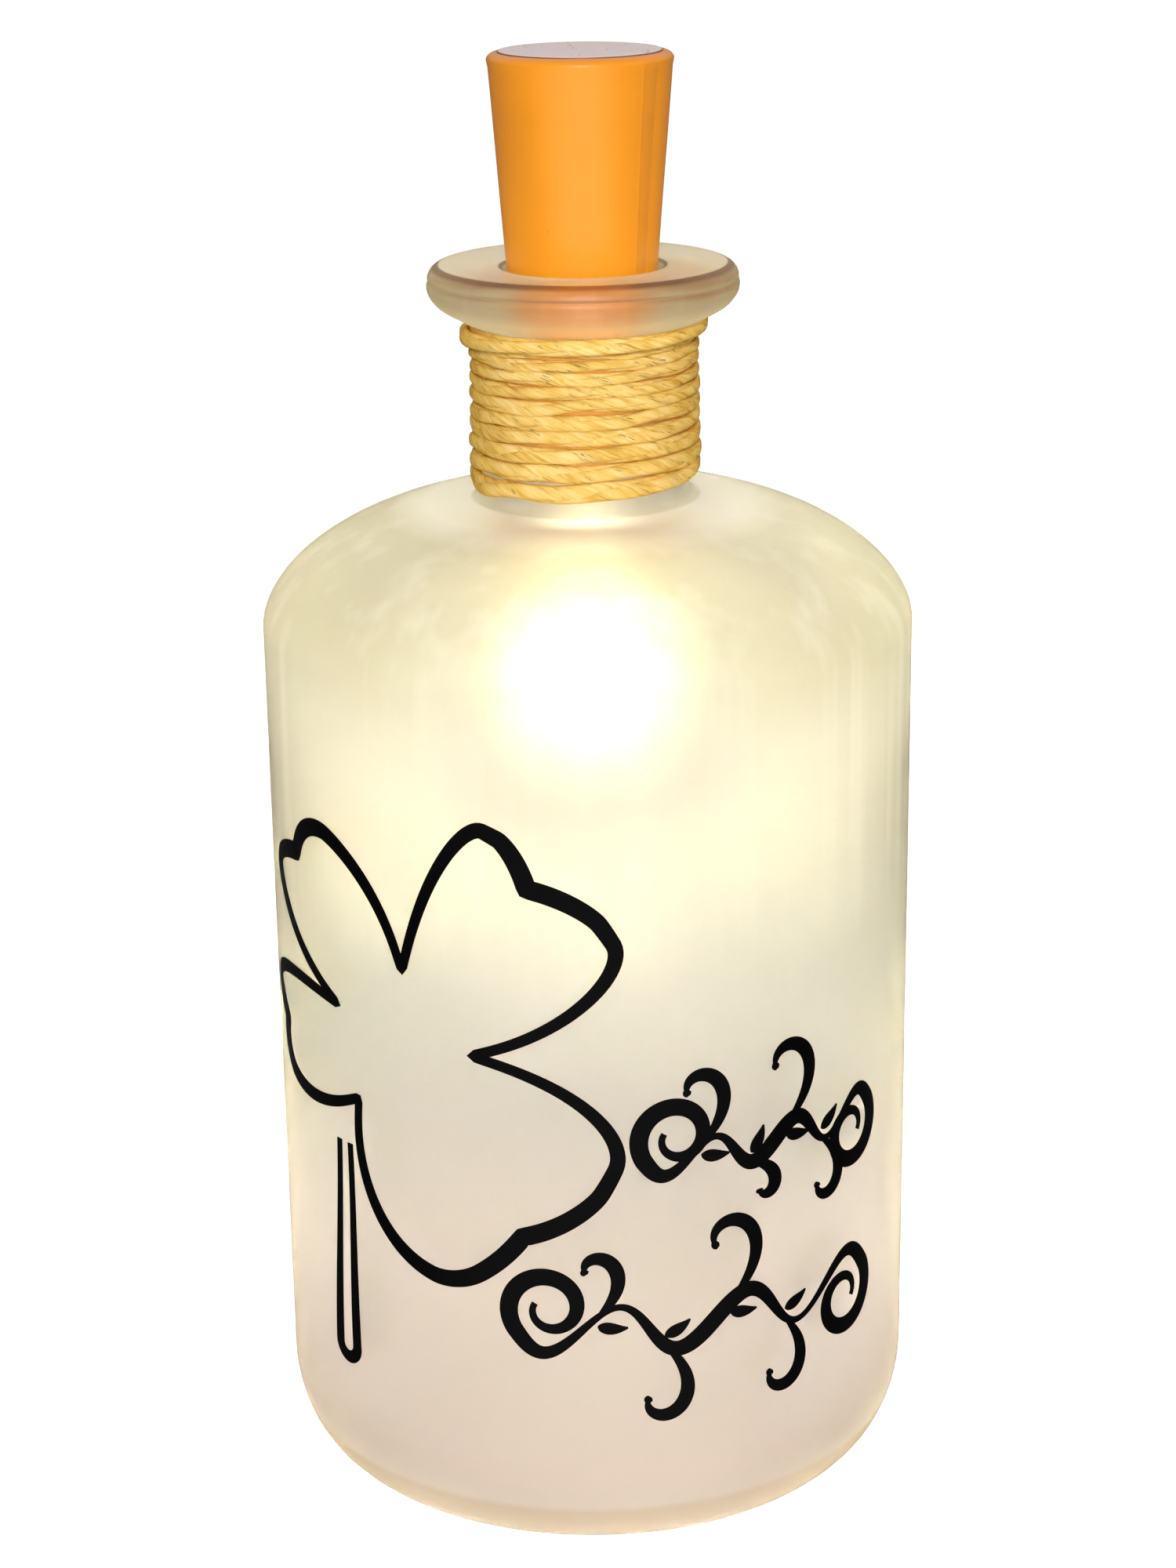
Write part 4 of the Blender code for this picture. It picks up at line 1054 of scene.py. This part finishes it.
def metalSurface(name, colour, roughness, axis="round"):
    material, shader, place = startSurface(name, Metallic=1.0)
    if axis == "round":
        x, y, z = parts(place)
        where = joined(maths("SQRT", plus(maths("POWER", x, 2.0), maths("POWER", y, 2.0))), z)
    else:
        where = stretched(place, (1.0, 1.0, 0.1))
    brush = noise(where, 9000.0, 2.0)
    cloud = noise(place, 260.0, 4.0, 0.6)
    rough = scaled(brush, 0.22, scaled(cloud, 0.15, roughness - 0.12))
    base = mixColour(cloud, dimmer(colour, 0.8), colour)
    feed(shader, Base_Color=base, Roughness=rough, Normal=bumped(brush, 0.000006))
    return material


def boardSurface(name, pitch):
    # solder mask with raised tracks under it and a few bare pads
    material, shader, place = startSurface(name, Coat_Weight=0.3, Coat_Roughness=0.15)
    cells = put("ShaderNodeTexVoronoi", {"Vector": place, "Scale": pitch}, distance="CHEBYCHEV").outputs["Distance"]
    track, pad = spread(cells, 0.40, 0.44), spread(cells, 0.12, 0.10)
    base = mixColour(track, coreColours["board"], coreColours["trace"])
    base = mixColour(pad, base, coreColours["copper"])
    rough = scaled(noise(place, 900.0), 0.2, 0.28)
    feed(shader, Base_Color=base, Roughness=rough, Metallic=pad, Normal=bumped(plus(track, pad), 0.00002))
    return material


def resinSurface():
    low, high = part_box("led")
    material, shader, place = startSurface(
        "ledResin", Roughness=0.12, Transmission_Weight=0.3, IOR=1.5, Emission_Color=coreColours["ledGlow"]
    )
    share = spread(parts(place)[2], low.z, high.z)
    base = mixColour(times(share, noise(place, 700.0)), coreColours["resin"], coreColours["phosphor"])
    feed(shader, Base_Color=base, Emission_Strength=spread(share, 0.0, 0.7, 5.0, 1.2))
    return material


def wireSurface(name, colour):
    material, shader, place = startSurface(name)
    cloud = noise(place, 1200.0)
    base = mixColour(cloud, dimmer(colour, 0.75), colour)
    feed(shader, Base_Color=base, Roughness=scaled(cloud, 0.2, 0.3), Normal=bumped(cloud, 0.00001))
    return material


def dressCore():
    c = coreColours
    looks = (
        (mouldedSurface("mouldedWhite", c["white"]), "core_frame", "switch_plunger"),
        (mouldedSurface("mouldedBlack", c["black"], 0.5), "switch_case", "driver_chip"),
        (mouldedSurface("firedCeramic", c["ceramic"], 0.55), "series_resistor", "filter_capacitor"),
        (boardSurface("maskedBoard", 420.0), "switch_board"),
        (boardSurface("maskedLedBoard", 520.0), "led_board"),
        (
            metalSurface("platedSteel", c["steel"], 0.32, "along"),
            "board_screw_left", "board_screw_right", "negative_spring",
        ),
        (metalSurface("cellCan", c["cell"], 0.30), "upper_cell", "middle_cell", "lower_cell"),
        (metalSurface("stampedBrass", c["brass"], 0.34), "positive_contact"),
        (resinSurface(), "led"),
        (wireSurface("redSleeve", c["red"]), "wire_red"),
        (wireSurface("blackSleeve", c["black"]), "wire_black"),
    )
    for material, *names in looks:
        for name in names:
            nodes[name].data.materials.clear()
            nodes[name].data.materials.append(material)


dressCore()

# small fittings on the boards: chip legs, end caps and solder
fittingShape = {
    "legCount": 3,
    "legWidth": 0.00035,
    "legReach": 0.00045,
    "legHeight": 0.0004,
    "legSink": 0.0001,
    "capWidth": 0.00035,
    "capSpare": (0.00004, 0.00006, 0.00006),
    "dotRadius": 0.00055,
    # rings of solder: name, board, dots, radius, degrees of the first dot
    "solder": (("wireSolder", "led_board", 7, 0.0030, -116.0), ("boardSolder", "switch_board", 4, 0.0062, 45.0)),
}


def legTree(material):
    corner = (0.0, 0.0, 0.0)
    inputs = {"Count": 3, "Spacing": 0.001, "Leg Size": corner, "Start": corner, "Row Gap": 0.002}
    given = startTree("legRows", inputs)
    step = joined(given["Spacing"], 0.0)
    row = made("GeometryNodeMeshLine", {"Count": given["Count"], "Start Location": given["Start"], "Offset": step})
    leg = made("GeometryNodeMeshCube", {"Size": given["Leg Size"]})
    legs = made("GeometryNodeInstanceOnPoints", {"Points": row, "Instance": leg})
    other = made("GeometryNodeTransform", {"Geometry": legs, "Translation": joined(0.0, given["Row Gap"])})
    return endTree(merged(legs, other), material, False)


def dotTree(material):
    inputs = {"Count": 2, "Ring Radius": 0.003, "Height": 0.0, "Dot Radius": 0.0005, "Turn": 0.0}
    given = startTree("solderDots", inputs)
    line = made("GeometryNodeMeshLine", {"Count": given["Count"], "Offset": (0.0, 0.0, 0.001)})
    turn = times(made("GeometryNodeInputIndex"), maths("DIVIDE", fullTurn, given["Count"]))
    line = placed(line, onRing(given["Ring Radius"], plus(given["Turn"], turn), given["Height"]))
    dot = made("GeometryNodeMeshIcoSphere", {"Radius": given["Dot Radius"], "Subdivisions": 3})
    dot = made("GeometryNodeTransform", {"Geometry": dot, "Scale": (1.0, 1.0, 0.35)})
    return endTree(made("GeometryNodeInstanceOnPoints", {"Points": line, "Instance": dot}), material)


def addFitting(name, tree, values):
    link(name, grown(name, tree, values), "core", "screw_steel")


def makeFittings():
    f = fittingShape
    solder = metalSurface("meltedSolder", coreColours["solder"], 0.22, "along")
    legs, dots = legTree(solder), dotTree(solder)
    low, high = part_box("driver_chip")
    spacing, reach, sink = (high - low).x / f["legCount"], f["legReach"], f["legSink"]
    addFitting("chipLegs", legs, {
        "Count": f["legCount"], "Spacing": spacing, "Leg Size": (f["legWidth"], reach, f["legHeight"]),
        "Start": (low.x + spacing / 2.0, low.y - reach / 2.0 + sink, low.z + f["legHeight"] / 2.0),
        "Row Gap": (high - low).y + reach - 2.0 * sink,
    })
    for label, name in (("resistorCaps", "series_resistor"), ("capacitorCaps", "filter_capacitor")):
        low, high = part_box(name)
        size, width, spare = high - low, f["capWidth"], f["capSpare"]
        addFitting(label, legs, {
            "Count": 2, "Spacing": size.x - width, "Leg Size": (width + spare[0], size.y + spare[1], size.z + spare[2]),
            "Start": (low.x + width / 2.0, (low.y + high.y) / 2.0, (low.z + high.z) / 2.0), "Row Gap": 0.0,
        })
    for label, board, count, radius, degrees in f["solder"]:
        addFitting(label, dots, {
            "Count": count, "Ring Radius": radius, "Height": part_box(board)[1].z + 0.0001,
            "Dot Radius": f["dotRadius"], "Turn": math.radians(degrees),
        })


makeFittings()
print("core dressed")

# floor, lamps and background
studio = {
    "floorReach": 3.0,
    "floorSink": 0.00005,
    "floorColours": ((0.89, 0.89, 0.89), (0.90, 0.90, 0.90)),
    "floorLift": 0.66,
    "passedDim": 0.28,
    "frontBounce": 0.45,
    "backBounce": 0.14,
    "frontGloss": 1.40,
    "sideGloss": 0.07,
    "backFloor": 0.15,
    "frontSky": 1.0,
    "backSky": 0.46,
    "backGloss": 0.08,
    "skyStrength": 0.38,
    # lamps: name, power, size, place, and the point they face
    "lamps": (
        ("frontSoftbox", 7.3, 0.26, (0.0, -0.95, 0.50), (0.0, 0.0, 0.10)),
        ("sideSoftbox", 0.6, 0.60, (0.9, -0.3, 0.6), (0.0, 0.0, 0.08)),
    ),
}


def frontShare(x, y):
    # 1 straight in front of the bottle, 0 at its sides and behind it
    slant = maths("DIVIDE", maths("ABSOLUTE", x), maths("MAXIMUM", times(y, -1.0), 0.001))
    return spread(slant, 0.5, 1.5, 1.0, 0.0)


def makeFloor():
    mesh = bpy.data.meshes.new("floor")
    reach = studio["floorReach"]
    corners = [(reach * x, reach * y, 0.0) for x, y in ((-1, -1), (1, -1), (1, 1), (-1, 1))]
    mesh.from_pydata(corners, [], [(0, 1, 2, 3)])
    floor = stand("floor", mesh)
    floor.location.z = -studio["floorSink"]
    white = (1.0, 1.0, 1.0)
    material, shader, place = startSurface("paleFloor", Roughness=0.7, Specular_IOR_Level=0.1, Emission_Color=white)
    colour = mixColour(noise(place, 3.0), *studio["floorColours"])
    path = put("ShaderNodeLightPath").outputs
    # the room behind the bottle is dimmer than the window side, for light that bounces or passes through
    through = path["Is Transmission Ray"]
    mirrored = minus(maths("MAXIMUM", path["Is Glossy Ray"], through), through)
    x, y, _ = parts(place)
    behind, ahead = spread(y, -0.20, 0.10), frontShare(x, y)
    dimmed = times(spread(ahead, 0.0, 1.0, 1.0 - studio["backFloor"], 0.0), mirrored)
    dimmed = scaled(through, studio["passedDim"], dimmed)
    feed(shader, Base_Color=mixColour(dimmed, colour, (0.0, 0.0, 0.0)))
    passed = spread(behind, 0.0, 1.0, studio["frontBounce"], studio["backBounce"])
    glossy = spread(ahead, 0.0, 1.0, studio["sideGloss"], studio["frontGloss"])
    glow = scaled(mirrored, glossy, times(through, passed))
    feed(shader, Emission_Strength=plus(glow, times(path["Is Camera Ray"], studio["floorLift"])))
    mesh.materials.append(material)


def makeLamp(name, power, size, place, aim):
    data = bpy.data.lights.new(name, "AREA")
    data.energy, data.shape, data.size = power, "DISK", size
    lamp = stand(name, data)
    turn = (Vector(place) - Vector(aim)).normalized().to_track_quat("Z", "Y")
    lamp.matrix_world = Matrix.Translation(place) @ turn.to_matrix().to_4x4()


def makeSky():
    world = bpy.data.worlds.new("paleRoom")
    bpy.context.scene.world = world
    world.use_nodes = True
    current["tree"] = world.node_tree
    path = put("ShaderNodeLightPath").outputs
    bounced = maths("MAXIMUM", path["Is Glossy Ray"], path["Is Transmission Ray"])
    x, y, z = parts(put("ShaderNodeTexCoord").outputs["Generated"])
    backward = times(spread(y, -0.5, 0.5), spread(z, 0.05, 0.42, 1.0, 0.0))
    lively = maths("MAXIMUM", frontShare(x, y), spread(z, 0.02, 0.45))
    mirrored = spread(lively, 0.0, 1.0, studio["backGloss"], studio["frontSky"])
    passed = spread(backward, 0.0, 1.0, studio["frontSky"], studio["backSky"])
    room = spread(path["Is Transmission Ray"], 0.0, 1.0, mirrored, passed)
    strength = spread(bounced, 0.0, 1.0, studio["skyStrength"], room)
    strength = maths("MAXIMUM", strength, path["Is Camera Ray"])
    feed(world.node_tree.nodes["Background"], Color=(1.0, 1.0, 1.0), Strength=strength)


makeFloor()
makeSky()
for lamp in studio["lamps"]:
    makeLamp(*lamp)
print("studio ready")
